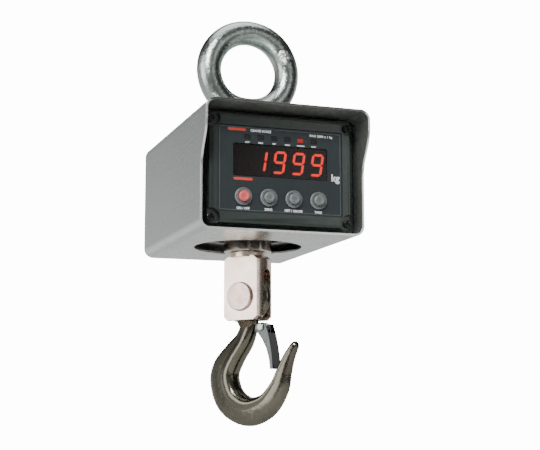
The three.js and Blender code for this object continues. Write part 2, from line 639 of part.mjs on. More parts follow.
// ---------------------------------------------------------------- hook
/** The hook's bar: rounded sections lofted along a smooth line through the stations. */
function hookBar() {
  const [rings, sides] = [32, 12];
  const line = new THREE.CatmullRomCurve3(
    HOOK_STATIONS.map(([x, z]) => new THREE.Vector3(x, 0, z)), false, 'centripetal');
  const sizes = new THREE.CatmullRomCurve3(
    HOOK_STATIONS.map(([, , width, thickness], i) => new THREE.Vector3(i, width, thickness)));
  const positions = [];
  for (let i = 0; i < rings; i += 1) {
    const t = i / (rings - 1);
    const [size, centre] = [sizes.getPoint(t), line.getPoint(t)];
    const halfThickness = Math.min(size.z, neckLimit(centre.z, size.y));
    pushSection(positions, centre, line.getTangent(t), size.y, halfThickness, sides);
  }
  const [tipX, tipZ] = HOOK_POINT;
  const last = HOOK_STATIONS.at(-1);
  const nose = new THREE.Vector3(tipX - last[0], 0, tipZ - last[1]);
  for (const angle of [0.5, 0.95, 1.3]) {
    const centre = new THREE.Vector3(last[0], 0, last[1]).addScaledVector(nose, Math.sin(angle));
    pushSection(positions, centre, nose, last[2] * Math.cos(angle), last[3] * Math.cos(angle), sides);
  }
  return solid(closedLoft(positions, sides));
}

/**
 * Half thickness that clears the clevis at height z: the bar only thickens below the clevis, by as
 * much again as its edge rises when the hook swings.
 */
function neckLimit(z, halfWidth) {
  const swingRise = halfWidth * Math.sin((HOOK_SWING * Math.PI) / 180);
  return HOOK_EYE_THICKNESS / 2 + Math.max(0, -PIN_ABOVE_CLEVIS_END - 1 - swingRise - z) * 0.6;
}

/** One rounded section square to the path; it is thicker towards the inside of the bend, on its left. */
function pushSection(positions, centre, direction, halfWidth, halfThickness, sides) {
  const inward = new THREE.Vector3(-direction.z, 0, direction.x).normalize();
  for (let k = 0; k < sides; k += 1) {
    const angle = (2 * Math.PI * k) / sides;
    const across = Math.cos(angle);
    const thick = Math.sin(angle) * (1 + HOOK_TAPER * across) * (1 + 0.12 * Math.cos(angle) ** 2);
    const place = inward.clone().multiplyScalar(across * halfWidth).add(centre);
    positions.push([place.x, thick * halfThickness, place.z]);
  }
}

/** Rings of points joined into one closed skin, with a fan over each end. */
function closedLoft(points, sides) {
  const rings = points.length / sides;
  const index = [];
  for (let i = 0; i < rings - 1; i += 1) {
    for (let k = 0; k < sides; k += 1) {
      const [a, b] = [i * sides + k, i * sides + ((k + 1) % sides)];
      index.push(a, b, a + sides, b, b + sides, a + sides);
    }
  }
  for (let k = 1; k < sides - 1; k += 1) {
    const end = (rings - 1) * sides;
    index.push(0, k + 1, k, end, end + k, end + k + 1);
  }
  const geometry = new THREE.BufferGeometry();
  geometry.setAttribute('position', new THREE.Float32BufferAttribute(points.flat(), 3));
  geometry.setIndex(index);
  return geometry;
}

/** Forged hook with its eye and the lug that carries the latch. */
function hook() {
  const [outer, half] = [HOOK_EYE_DIAMETER / 2, HOOK_EYE_THICKNESS / 2];
  const bore = PIN_DIAMETER / 2 + PIN_RUNNING_CLEARANCE;
  const outline = [[bore, -half]];
  for (let i = 0; i <= 4; i += 1) {
    const angle = (i / 4 - 0.5) * Math.PI;
    outline.push([outer - half + half * Math.cos(angle), half * Math.sin(angle)]);
  }
  outline.push([bore, half], [bore, -half]);
  const eye = turnedY(outline, 0, 0, 32);
  const [lugX, lugZ] = LATCH_PIVOT;
  const lugHalf = LATCH_LUG_THICKNESS / 2;
  const lug = barY(2 * LATCH_LUG_RADIUS, -lugHalf, lugHalf, lugX, lugZ, 16);
  const web = block([4, -lugHalf, lugZ - LATCH_LUG_RADIUS], [lugX, lugHalf, lugZ + LATCH_LUG_RADIUS * 0.8]);
  const rivetHole = barY(LATCH_RIVET + 2 * GAP, -LATCH_WIDTH, LATCH_WIDTH, lugX, lugZ, 12);
  const pinHole = barY(2 * bore, -LATCH_WIDTH, LATCH_WIDTH, 0, 0, 32);
  const body = cut(join([hookBar(), eye, lug, web]), [rivetHole, pinHole]);
  return part('hook', body.translate([0, 0, pinZ]), FORGED());
}

/** Sheet latch: a channel whose two cheeks hang on the rivet and whose web faces the hook's point. */
function latch() {
  const half = LATCH_WIDTH / 2;
  const cheek = slabY(latchOutline(0), -half, half, 4);
  const hollow = slabY(latchOutline(LATCH_SHEET), LATCH_SHEET - half, half - LATCH_SHEET, 4);
  const [x, z] = LATCH_PIVOT;
  const hole = barY(LATCH_RIVET + 2 * GAP, -LATCH_WIDTH, LATCH_WIDTH, x, z, 12);
  return part('latch', cut(cheek, [hollow, hole]).translate([0, 0, pinZ]), BRIGHT_SHEET());
}

/** The latch from the side; an inset leaves only the web's thickness standing. */
function latchOutline(inset) {
  const [x, z] = LATCH_PIVOT;
  const reach = inset ? 20 : 0;
  const shape = new THREE.Shape();
  shape.moveTo(x + 5.2 - inset, z + 3 + reach);
  shape.quadraticCurveTo(x + 12.2 - inset, z - 17, x + 13 - inset, z - 38 - reach);
  shape.lineTo(x + 10 - inset - reach, z - 38.4 - reach);
  shape.quadraticCurveTo(x + 9 - inset - reach, z - 18, x - 4 - inset - reach, z - 4.2);
  shape.lineTo(x - 4.6 - inset - reach, z + 3 + reach);
  shape.closePath();
  return shape;
}

function latchRivet() {
  const [shank, head] = [LATCH_RIVET / 2, LATCH_RIVET * 0.85];
  const [inner, outer] = [LATCH_WIDTH / 2 + GAP, LATCH_WIDTH / 2 + GAP + 1.4];
  const outline = [
    [0, -outer], [head * 0.7, -outer], [head, 0.6 - outer], [head, -inner], [shank, -inner],
    [shank, inner], [head, inner], [head, outer - 0.6], [head * 0.7, outer], [0, outer],
  ];
  const [x, z] = LATCH_PIVOT;
  return part('latch_rivet', turnedY(outline, x, pinZ + z, 12), ZINC());
}

/** Torsion spring wound round the rivet beside the lug; its leg lies along the latch's web. */
function latchSpring() {
  const [x, z] = LATCH_PIVOT;
  const coil = LATCH_RIVET / 2 + SPRING_WIRE / 2 + GAP;
  const start = LATCH_LUG_THICKNESS / 2 + GAP + SPRING_WIRE / 2;
  const pitch = SPRING_WIRE + 0.05;
  const room = LATCH_WIDTH / 2 - LATCH_SHEET - GAP - SPRING_WIRE / 2 - start;
  const turns = Math.min(SPRING_TURNS, room / pitch);
  const rise = turns * pitch;
  const steps = 14;
  const [rivetZ, legY] = [pinZ + z, start + rise];
  const points = [[x + coil + 2.2, legY, rivetZ - 9], [x + coil + 0.4, legY, rivetZ - 4]];
  for (let i = steps; i >= 0; i -= 1) {
    const angle = (1 - i / steps) * turns * 2 * Math.PI;
    const y = start + (rise * i) / steps;
    points.push([x + coil * Math.cos(angle), y, rivetZ + coil * Math.sin(angle)]);
  }
  return part('latch_spring', tube(points, SPRING_WIRE, 32, 6), BRIGHT_SHEET());
}

// ---------------------------------------------------------------- display end
/** Places along X of a row of pieces at an even pitch, either side of the middle. */
function row(count, pitch) {
  return Array.from({ length: count }, (_, i) => (i - (count - 1) / 2) * pitch);
}

function statusPlaces() {
  return row(STATUS_COUNT, STATUS_PITCH);
}

function buttonPlaces() {
  return row(BUTTON_COUNT, BUTTON_PITCH);
}

/** Bodies that cut the window, the status lights and the buttons through the label and the bezel. */
function panelOpenings(front, back, clearance) {
  const window = roundedRectangle(WINDOW_WIDTH, WINDOW_HEIGHT, WINDOW_CORNER, 0, windowZ);
  const bodies = [slabY(window, front, back)];
  for (const x of statusPlaces()) {
    const [halfX, halfZ] = [STATUS_WIDTH / 2 + clearance, STATUS_HEIGHT / 2 + clearance];
    bodies.push(block([x - halfX, front, statusZ - halfZ], [x + halfX, back, statusZ + halfZ]));
  }
  for (const x of buttonPlaces()) {
    bodies.push(barY(BUTTON_CAP + 4 * clearance, front, back, x, buttonZ));
  }
  return bodies;
}

/** Moulded lid: a flange round a raised middle, hollow behind, with a round pocket for each screw. */
function bezel() {
  const flangeSize = [innerWidth - 2 * BEZEL_FIT, innerHeight - 2 * BEZEL_FIT];
  const flangeShape = roundedRectangle(...flangeSize, innerBend, 0, caseMiddle);
  const flange = slabY(flangeShape, bezelFlangeFace, bezelBack);
  const raised = slabY(roundedRectangle(raisedWidth, raisedHeight, 4, 0, caseMiddle),
    bezelFace, bezelBack + BEZEL_EDGE, 2, BEZEL_EDGE);
  const behind = block([-CASE_WIDTH, bezelBack, caseBottom], [CASE_WIDTH, bezelBack + 20, caseTop]);
  const hollowShape = roundedRectangle(labelWidth, labelHeight, 2, 0, caseMiddle);
  const hollow = slabY(hollowShape, panelBack, bezelBack + 1, 1);
  const seat = slabY(roundedRectangle(labelWidth + 2 * GAP, labelHeight + 2 * GAP, 0.8, 0, caseMiddle),
    bezelFace - 1, labelBack + GAP, 1);
  const pockets = screwPlaces().flatMap(([x, z]) => [
    barY(SCREW_POCKET, bezelFace - 5, bezelFace + SCREW_POCKET_DEPTH, x, z, 24),
    barY(SCREW_DIAMETER + 2 * GAP, bezelFace, bezelBack + 1, x, z, 12),
  ]);
  const cutters = [behind, hollow, seat, ...pockets, ...panelOpenings(bezelFace - 1, bezelBack, GAP)];
  return part('bezel', cut(flange.add(raised), cutters), LID_PLASTIC());
}

function labelPlate() {
  const outline = roundedRectangle(labelWidth, labelHeight, 0.8, 0, caseMiddle);
  const openings = panelOpenings(labelFace - 1, labelBack + 1, GAP);
  return part('label_plate', cut(slabY(outline, labelFace, labelBack, 1), openings), LABEL_FILM());
}

function displayLens() {
  const size = [WINDOW_WIDTH - 2 * GAP, WINDOW_HEIGHT - 2 * GAP];
  const shape = roundedRectangle(...size, WINDOW_CORNER - GAP, 0, windowZ);
  return part('display_lens', slabY(shape, lensFace, lensBack), SMOKED());
}

const digitPitch = WINDOW_WIDTH / DIGIT_COUNT;

/** One LED digit module of the row behind the lens. */
function digitModule(index, x) {
  const half = digitPitch / 2 - GAP;
  const body = block([x - half, digitFace, windowZ - DIGIT_HEIGHT / 2],
    [x + half, digitFace + DIGIT_DEPTH, windowZ + DIGIT_HEIGHT / 2]);
  return part(`digit_${index + 1}`, body, LED_CASE());
}

/** Light guide behind the six status windows. */
function statusStrip() {
  const base = panelBack + GAP;
  const half = ((STATUS_COUNT - 1) * STATUS_PITCH + STATUS_WIDTH) / 2 + 1;
  const room = statusZ - windowZ - DIGIT_HEIGHT / 2 - GAP; // down to the digit modules
  const stripHalf = Math.min(STATUS_HEIGHT / 2 + 0.8, room);
  const bodies = [block([-half, base, statusZ - stripHalf], [half, base + 2, statusZ + stripHalf])];
  for (const x of statusPlaces()) {
    bodies.push(block([x - STATUS_WIDTH / 2, labelFace, statusZ - STATUS_HEIGHT / 2],
      [x + STATUS_WIDTH / 2, base + 1, statusZ + STATUS_HEIGHT / 2]));
  }
  return part('status_strip', join(bodies), SMOKED());
}

/** Circuit board behind the digits, with the four key switches soldered on its face. */
function displayBoard() {
  const [halfX, halfZ] = [labelWidth / 2 - 2, labelHeight / 2 - 2];
  const board = block([-halfX, boardFace, caseMiddle - halfZ],
    [halfX, boardFace + BOARD_THICKNESS, caseMiddle + halfZ]);
  const keyFront = buttonBack + BUTTON_TRAVEL + GAP;
  const keys = buttonPlaces().map((x) =>
    block([x - 3, keyFront, buttonZ - 3], [x + 3, boardFace + 1, buttonZ + 3]));
  return part('display_board', join([board, ...keys]), BOARD_GREEN());
}

const ringBack = labelFace - GAP;
const ringFace = ringBack - BUTTON_RING_HEIGHT;
const buttonFace = ringFace - BUTTON_PROUD;
const buttonBack = boardFace - 3 - BUTTON_TRAVEL;

/** Grey collar that guides a button, on the label. */
function buttonRing(index, x) {
  const [inner, outer] = [BUTTON_CAP / 2 + 2 * GAP, BUTTON_RING / 2];
  const outline = [
    [inner, ringBack], [inner, ringFace + 0.8], [inner + 0.8, ringFace], [outer - 1, ringFace],
    [outer, ringFace + 1], [outer, ringBack], [inner, ringBack],
  ];
  return part(`button_ring_${index + 1}`, turnedY(outline, x, buttonZ), BUTTON_GREY());
}

/** Button: a domed cap on a plunger that reaches back to its key switch. */
function button(index, x) {
  const radius = BUTTON_CAP / 2;
  const outline = [
    [0, buttonFace], [radius * 0.55, buttonFace + 0.2], [radius * 0.86, buttonFace + 0.8],
    [radius, buttonFace + 1.9], [radius, buttonBack], [0, buttonBack],
  ];
  const material = index === 0 ? BUTTON_RED() : BUTTON_GREY();
  return part(`button_${index + 1}`, turnedY(outline, x, buttonZ), material);
}

/** Pan-head screw: the head is at headFace and the thread runs to the end; side is the way it points. */
function coverScrew(name, [x, z], headFace, end) {
  const side = Math.sign(end - headFace);
  const [head, shank] = [SCREW_HEAD / 2, SCREW_DIAMETER / 2];
  const under = headFace + side * SCREW_HEAD_HEIGHT;
  const outline = [
    [0, headFace + side * 0.9], [head * 0.4, headFace + side * 0.9], [head * 0.4, headFace],
    [head * 0.75, headFace], [head, headFace + side * 0.9], [head, under],
    [shank, under], [shank, end], [0, end],
  ];
  return part(name, turnedY(outline, x, z, 12), BLACK_OXIDE());
}

function coverScrews() {
  const pocketFloor = bezelFace + SCREW_POCKET_DEPTH;
  return screwPlaces().flatMap((place, i) => [
    coverScrew(`bezel_screw_${i + 1}`, place, pocketFloor - GAP - SCREW_HEAD_HEIGHT,
      frontFrameFace + FRAME_THICKNESS + 2),
    coverScrew(`back_screw_${i + 1}`, place, backFace + GAP + SCREW_HEAD_HEIGHT, rearFrameFace - 2),
  ]);
}

// ---------------------------------------------------------------- back end and what the case holds
function backCover() {
  const size = [innerWidth - 2 * BEZEL_FIT, innerHeight - 2 * BEZEL_FIT];
  const plate = slabY(roundedRectangle(...size, innerBend, 0, caseMiddle), backCoverInside, backFace);
  const holes = screwPlaces().map(([x, z]) =>
    barY(SCREW_DIAMETER + 2 * GAP, backCoverInside - 1, backFace + 1, x, z, 12));
  holes.push(barY(SOCKET_BODY + 2 * GAP, backCoverInside - 1, backFace + 1, socketX, socketZ));
  return part('back_cover', cut(plate, holes), STAINLESS());
}

/** Charging socket: a flanged body through the back cover with the jack's bore open to the rear. */
function chargeSocket() {
  const flangeBack = backFace + GAP;
  const face = flangeBack + SOCKET_FLANGE_THICKNESS;
  const [body, flange, bore] = [SOCKET_BODY / 2, SOCKET_FLANGE / 2, SOCKET_BORE / 2];
  const outline = [
    [0, face - SOCKET_DEPTH], [body, face - SOCKET_DEPTH], [body, flangeBack], [flange, flangeBack],
    [flange, face], [bore, face], [bore, face - SOCKET_BORE_DEPTH], [0, face - SOCKET_BORE_DEPTH],
  ];
  return part('charge_socket', turnedY(outline, socketX, socketZ), BLACK_OXIDE());
}

/** Rubber flap over the charging socket; it folds up about its top edge. */
function chargeCap() {
  const back = backFace + GAP + SOCKET_FLANGE_THICKNESS + GAP;
  const [radius, plug] = [SOCKET_FLANGE / 2 - 0.5, SOCKET_BORE / 2 - 0.7];
  const outline = [
    [0, back - CAP_PLUG], [plug, back - CAP_PLUG], [plug, back], [radius, back],
    [radius, back + CAP_THICKNESS - 0.5], [radius - 0.5, back + CAP_THICKNESS], [0, back + CAP_THICKNESS],
  ];
  const tab = block([socketX - 4, back, socketZ],
    [socketX + 4, back + CAP_THICKNESS, socketZ + radius + 2.5]);
  return part('charge_cap', turnedY(outline, socketX, socketZ).add(tab), BLACK_RUBBER());
}

/** Folded tray over the case floor: it carries the battery and lets the load line through. */
function innerTray() {
  const half = innerWidth / 2 - innerBend;
  const low = floorInside + GAP;
  const outline = polygon([
    [-half, low], [TRAY_SHEET - half, low], [TRAY_SHEET - half, trayTop - TRAY_SHEET],
    [half - TRAY_SHEET, trayTop - TRAY_SHEET], [half - TRAY_SHEET, low], [half, low],
    [half, trayTop], [-half, trayTop],
  ]);
  const tray = slabY(outline, caseFront + TRAY_FRONT, caseBack - TRAY_BACK);
  const hole = barZ(TRAY_HOLE, trayTop - TRAY_SHEET - 1, trayTop + 1, 36);
  return part('inner_tray', tray.subtract(hole), BRIGHT_SHEET());
}

const terminalX = BATTERY_SIZE.x * 0.38;

/** Sealed battery: a moulded box, its lid and two tab terminals. */
function battery() {
  const { x, y, z } = BATTERY_SIZE;
  const outline = roundedRectangle(x, z - 4, 2, 0, batteryBottom + (z - 4) / 2);
  const body = slabY(outline, batteryFront, batteryBack, 1);
  const lid = block([-x / 2 + 2, batteryFront + 2, batteryTop - 5],
    [x / 2 - 2, batteryBack - 2, batteryTop - 2]);
  const terminal = (side) => block([side * terminalX - 3, batteryFront + 3, batteryTop - 3],
    [side * terminalX + 3, batteryFront + 4, batteryTop]);
  return part('battery', join([body, lid, terminal(-1), terminal(1)]), BATTERY_GREY());
}

/** Strap over the battery with a foot on the tray at each side. */
function batteryStrap() {
  const half = BATTERY_SIZE.x / 2 + GAP;
  const top = batteryTop - 2 + GAP;
  const foot = 8;
  const [low, sheet] = [trayTop + GAP, STRAP_SHEET];
  const outline = polygon([
    [-half - sheet - foot, low], [-half, low], [-half, top], [half, top], [half, low],
    [half + sheet + foot, low], [half + sheet + foot, low + sheet], [half + sheet, low + sheet],
    [half + sheet, top + sheet], [-half - sheet, top + sheet], [-half - sheet, low + sheet],
    [-half - sheet - foot, low + sheet],
  ]);
  const middle = (batteryFront + batteryBack) / 2;
  const strap = slabY(outline, middle - STRAP_WIDTH / 2, middle + STRAP_WIDTH / 2);
  return part('battery_strap', strap, BRIGHT_SHEET());
}

/** Screened lead from the load cell forward to the display board. */
function loadCellLead() {
  const z = (cellTop + cellBottom) / 2;
  const from = CELL_WIDTH / 2 + GAP;
  const to = boardFace + BOARD_THICKNESS + GAP;
  const points = [
    [from, 0, z], [from + 6, 0, z], [from + 10, -8, z - 4],
    [from + 8, (to - CELL_THICKNESS / 2) / 2, z - 9], [from + 2, to + 16, z - 6],
    [from - 2, to + 6, z], [from - 2, to, z],
  ];
  return part('load_cell_lead', tube(points, LEAD_DIAMETER, 24), LEAD_GREY());
}

/** Twin lead from the battery forward to the display board, past the load cell. */
function batteryLead() {
  const to = boardFace + BOARD_THICKNESS + GAP;
  const [x, z] = [-terminalX, batteryTop - 10];
  const points = [
    [x, batteryFront - GAP, z], [x, batteryFront - 8, z], [x - 4, (batteryFront + to) / 2, z - 8],
    [x + 4, to + 14, z - 6], [x + 8, to + 6, z - 4], [x + 8, to, z - 4],
  ];
  return part('battery_lead', tube(points, LEAD_DIAMETER, 24), LEAD_GREY());
}

// ---------------------------------------------------------------- assembly
const scale = new THREE.Group();
scale.add(caseSleeve(), topStiffener(), coverFrame('front_frame', frontFrameFace),
  coverFrame('rear_frame', rearFrameFace), coverGasket('bezel_gasket', bezelGasketFace),
  coverGasket('back_gasket', backGasketFace));
scale.add(eyeBolt(), eyeGasket(), eyeNut(), loadCell(), swivelHousing(), swivelRing());
scale.add(bearingRace('bearing_lower_race', raceLowerBottom), bearingCage());
scale.add(bezel(), labelPlate(), displayLens(), statusStrip(), displayBoard());
row(DIGIT_COUNT, digitPitch).forEach((x, i) => scale.add(digitModule(i, x)));
buttonPlaces().forEach((x, i) => scale.add(buttonRing(i, x), button(i, x)));
scale.add(...coverScrews());
scale.add(backCover(), chargeSocket(), chargeCap(), innerTray(), battery(), batteryStrap());
scale.add(loadCellLead(), batteryLead());

const swivel = new THREE.Group();
swivel.rotation.z = HOOK_TURN;
swivel.add(bearingRace('bearing_upper_race', raceUpperBottom), spindleNut(), clevis(), clevisPin());
swivel.add(pinLockScrew(), hook(), latch(), latchRivet(), latchSpring());
scale.add(swivel);

export default scale;
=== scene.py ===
"""A crane scale: folded stainless case, forged lifting eye above, slotted clevis and safety hook below."""
import math

import bmesh
import bpy
import numpy as np
from mathutils import Matrix, Vector


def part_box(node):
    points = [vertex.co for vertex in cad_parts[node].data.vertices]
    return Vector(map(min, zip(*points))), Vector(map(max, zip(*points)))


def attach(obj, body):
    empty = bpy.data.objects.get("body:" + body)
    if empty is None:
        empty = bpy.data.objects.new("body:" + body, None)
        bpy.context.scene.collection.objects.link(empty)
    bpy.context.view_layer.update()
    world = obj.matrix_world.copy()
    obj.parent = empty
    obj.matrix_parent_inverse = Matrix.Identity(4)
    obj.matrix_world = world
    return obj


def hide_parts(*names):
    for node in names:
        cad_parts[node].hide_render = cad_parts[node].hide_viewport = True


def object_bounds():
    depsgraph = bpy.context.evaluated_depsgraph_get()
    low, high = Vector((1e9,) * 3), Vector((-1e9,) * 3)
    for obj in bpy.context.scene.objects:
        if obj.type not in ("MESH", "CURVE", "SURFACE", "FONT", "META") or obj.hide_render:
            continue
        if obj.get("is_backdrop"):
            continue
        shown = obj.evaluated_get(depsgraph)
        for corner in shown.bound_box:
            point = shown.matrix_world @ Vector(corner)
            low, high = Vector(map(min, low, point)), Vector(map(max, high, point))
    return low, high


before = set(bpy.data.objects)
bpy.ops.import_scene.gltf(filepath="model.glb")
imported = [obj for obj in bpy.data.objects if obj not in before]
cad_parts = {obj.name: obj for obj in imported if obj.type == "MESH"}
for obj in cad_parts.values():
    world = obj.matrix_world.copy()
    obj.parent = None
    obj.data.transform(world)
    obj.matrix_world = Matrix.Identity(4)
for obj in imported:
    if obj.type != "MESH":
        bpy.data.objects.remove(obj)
CAD_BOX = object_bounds()
MM = 0.001

# ---------------------------------------------------------------------------------------------
# Camera, a little below the case and to its left, looking slightly up at the hanging scale.
CAMERA_PLACE = (-0.35410, -1.07534, -0.35515)
CAMERA_TURN = math.radians(-19.277)
CAMERA_TILT = math.radians(9.089)
CAMERA_ROLL = math.radians(-0.087)

camera = bpy.data.objects.new("camera", bpy.data.cameras.new("camera"))
camera.data.lens = 81.8
camera.data.sensor_width = 36
bpy.context.scene.collection.objects.link(camera)
forward = Vector((-math.sin(CAMERA_TURN) * math.cos(CAMERA_TILT),
                  math.cos(CAMERA_TURN) * math.cos(CAMERA_TILT), math.sin(CAMERA_TILT)))
level = forward.cross(Vector((0, 0, 1))).normalized()
above = level.cross(forward)
right = math.cos(CAMERA_ROLL) * level + math.sin(CAMERA_ROLL) * above
upward = math.cos(CAMERA_ROLL) * above - math.sin(CAMERA_ROLL) * level
turned_to = Matrix((right, upward, -forward)).transposed().to_4x4()
camera.matrix_world = Matrix.Translation(CAMERA_PLACE) @ turned_to
bpy.context.scene.camera = camera


# ---------------------------------------------------------------------------------------------
# Studio: a pale floor well under the hook, and a tent of soft light with a tall bright panel to
# the left, a bright ceiling and a dim right side, so that bare metal has something to show.
class Signal:
    """A shader socket that arithmetic works on; each operator adds one Math node."""

    def __init__(self, graph, socket):
        self.graph, self.socket = graph, socket

    def maths(self, operation, first, second=0.0):
        return self.graph.node("ShaderNodeMath", {"operation": operation}, {0: first, 1: second})

    def __add__(self, other):
        return self.maths("ADD", self, other)

    def __sub__(self, other):
        return self.maths("SUBTRACT", self, other)

    def __rsub__(self, other):
        return self.maths("SUBTRACT", other, self)

    def __mul__(self, other):
        return self.maths("MULTIPLY", self, other)

    def __pow__(self, other):
        return self.maths("POWER", self, other)

    __radd__ = __add__
    __rmul__ = __mul__


class Graph:
    """A node tree that is written as expressions on Signals."""

    def __init__(self, tree):
        self.tree = tree

    def node(self, kind, settings=None, sockets=None, output=0):
        """One node: its settings first, then the values or Signals of its sockets."""
        made = self.tree.nodes.new(kind)
        for key, value in (settings or {}).items():
            setattr(made, key, value)
        for key, value in (sockets or {}).items():
            if isinstance(value, Signal):
                self.tree.links.new(value.socket, made.inputs[key])
            else:
                made.inputs[key].default_value = value
        return Signal(self, made.outputs[output]) if made.outputs else None

    def step(self, value, low, high):
        """0 below low, 1 above high, and a smooth rise between; low may be the larger."""
        return self.node("ShaderNodeMapRange", {"interpolation_type": "SMOOTHSTEP"},
                         {"Value": value, "From Min": low, "From Max": high})

    def along(self, vector, axis):
        """How far a vector reaches along an axis."""
        return self.node("ShaderNodeVectorMath", {"operation": "DOT_PRODUCT"}, {0: vector, 1: axis}, "Value")


# Each lamp of the tent: direction, cosine of its half angle, cosine where its glow ends, strength.
TENT = (
    ((-0.96, -0.20, 0.12), 0.962, 0.905, 3.5),
    ((0.0, -0.05, 1.0), 0.930, 0.820, 2.6),
    ((0.33, 0.90, -0.38), 0.950, 0.350, 0.80),
    ((-0.20, -0.95, 0.0), 0.900, 0.500, 0.16),
    ((0.47, -0.87, 0.13), 0.995, 0.970, 1.40),
    ((-0.50, 0.80, -0.35), 0.960, 0.780, 0.42),
    ((-0.90, 0.40, 0.0), 0.930, 0.750, 0.45),
    ((0.93, 0.30, 0.22), 0.985, 0.950, 0.60),
)
TENT_DIM = 0.05
BACKDROP_STRENGTH = 14

world = bpy.data.worlds.new("studio")
world.use_nodes = True
world.node_tree.nodes.clear()
bpy.context.scene.world = world
studio = Graph(world.node_tree)
direction = studio.node("ShaderNodeTexCoord", output="Generated")
glow = TENT_DIM
for axis, inner, outer, strength in TENT:
    facing = studio.along(direction, Vector(axis).normalized())
    glow = studio.step(facing, outer, inner) * strength + glow
tent = studio.node("ShaderNodeBackground", None, {"Color": (1, 0.99, 0.975, 1), "Strength": glow})
backdrop = studio.node("ShaderNodeBackground", None, {"Color": (1, 1, 1, 1), "Strength": BACKDROP_STRENGTH})
seen = studio.node("ShaderNodeLightPath", output="Is Camera Ray")
surround = studio.node("ShaderNodeMixShader", None, {0: seen, 1: tent, 2: backdrop})
studio.node("ShaderNodeOutputWorld", None, {"Surface": surround})


def area_lamp(name, place, target, size, power):
    """A square soft lamp at place that looks at target; both in metres."""
    lamp = bpy.data.objects.new(name, bpy.data.lights.new(name, "AREA"))
    lamp.data.size = size
    lamp.data.energy = power
    lamp.location = place
    lamp.rotation_euler = (Vector(target) - Vector(place)).to_track_quat("-Z", "Y").to_euler()
    bpy.context.scene.collection.objects.link(lamp)


area_lamp("key_lamp", (-0.9, -1.3, 0.9), (0, 0, -0.15), 0.5, 30)


class Finish(Graph):
    """One material: a Principled shader with constants on its own sockets and a graph before it."""

    def __init__(self, name, **constants):
        self.material = bpy.data.materials.new(name)
        self.material.use_nodes = True
        super().__init__(self.material.node_tree)
        self.shader = self.tree.nodes["Principled BSDF"]
        for socket, value in constants.items():
            self.shader.inputs[socket.replace("_", " ")].default_value = value

    def place(self, stretch=(1, 1, 1), shift=(0, 0, 0), turn=(0, 0, 0)):
        """Object coordinates in metres, shifted, turned and stretched."""
        here = self.node("ShaderNodeTexCoord", output="Object")
        moved = self.node("ShaderNodeVectorMath", {"operation": "SUBTRACT"}, {0: here, 1: shift})
        return self.node("ShaderNodeMapping", None, {"Vector": moved, "Rotation": turn, "Scale": stretch})

    def noise(self, scale, detail=3, where=None, roughness=0.55):
        """Smooth noise about 0.5; scale is in cycles a metre unless where is already stretched."""
        return self.node("ShaderNodeTexNoise", None, {
            "Vector": where or self.place(), "Scale": scale, "Detail": detail, "Roughness": roughness})

    def part_of(self, vector, axis):
        """One number, 0 to 2, out of a vector."""
        return self.node("ShaderNodeSeparateXYZ", None, {0: vector}, axis)

    def mix(self, amount, first, second):
        """From the first colour to the second."""
        wide = [tuple(c) + (1,) if isinstance(c, tuple) and len(c) == 3 else c for c in (first, second)]
        return self.node("ShaderNodeMix", {"data_type": "RGBA"}, {0: amount, 6: wide[0], 7: wide[1]}, 2)

    def bump(self, height, depth):
        """Relief whose full range of height is depth, in metres."""
        return self.node("ShaderNodeBump", None, {"Height": height, "Distance": depth, "Strength": 1.0})

    def feed(self, **links):
        """Signals or values into the shader's sockets; gives the material."""
        for socket, value in links.items():
            target = self.shader.inputs[socket.replace("_", " ")]
            if isinstance(value, Signal):
                self.tree.links.new(value.socket, target)
            else:
                target.default_value = tuple(value) + (1,) if isinstance(value, tuple) else value
        return self.material


floor_paint = Finish("floor_paint", Roughness=0.85)
floor_paint.feed(Base_Color=floor_paint.mix(floor_paint.noise(4), (0.70, 0.70, 0.69), (0.75, 0.75, 0.74)))
bpy.ops.mesh.primitive_circle_add(vertices=96, radius=1.6, fill_type="NGON", location=(0, 0, -0.62))
floor = bpy.context.object
floor.name = "floor"
floor.data.materials.append(floor_paint.material)
floor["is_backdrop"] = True


# ---------------------------------------------------------------------------------------------
# Case: one sheet of stainless steel folded into a square tube, brushed lengthwise. Its front is
# cut so that the top and the upper sides stand out as a hood; round holes pass the load line.
CASE_WIDTH, CASE_HEIGHT, CASE_SHEET, CASE_BEND = 150.0, 110.0, 2.0, 9.0
HOOD_REACH, HOOD_SIDE, HOOD_SLANT, HOOD_SOFTENING = 15.5, 24.0, 25.0, 9.0
FLOOR_HOLE_RADIUS, STUD_HOLE_RADIUS = 50.0, 12.3
WINDOW_HALF, WINDOW_STEPS, SIDE_STEPS, BEND_STEPS = 60.0, 24, 93, 15
low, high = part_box("case_sleeve")
CASE_TOP, CASE_BOTTOM = high.z / MM, low.z / MM
CASE_MIDDLE = (CASE_TOP + CASE_BOTTOM) / 2
CASE_BACK, HOOD_FRONT = high.y / MM, low.y / MM
CASE_FRONT = HOOD_FRONT + HOOD_REACH


def new_piece(name, mesh, materials, body, nodes=()):
    """A mesh as an object with its finishes, its body and the nodes it stands for."""
    piece = bpy.data.objects.new(name, mesh)
    bpy.context.scene.collection.objects.link(piece)
    for material in materials:
        mesh.materials.append(material)
    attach(piece, body)
    if nodes:
        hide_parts(*nodes)
    return piece


def sheet_of(points, round_rows=False, round_columns=False):
    """Quads over a grid of points (rows, columns, xyz) in millimetres; a round way joins up."""
    rows, columns = points.shape[:2]
    index = np.arange(rows * columns).reshape(rows, columns)
    if round_rows:
        index = np.vstack([index, index[:1]])
    if round_columns:
        index = np.hstack([index, index[:, :1]])
    quads = np.stack([index[:-1, :-1], index[:-1, 1:], index[1:, 1:], index[1:, :-1]], -1)
    return points.reshape(-1, 3), quads.reshape(-1, 4)


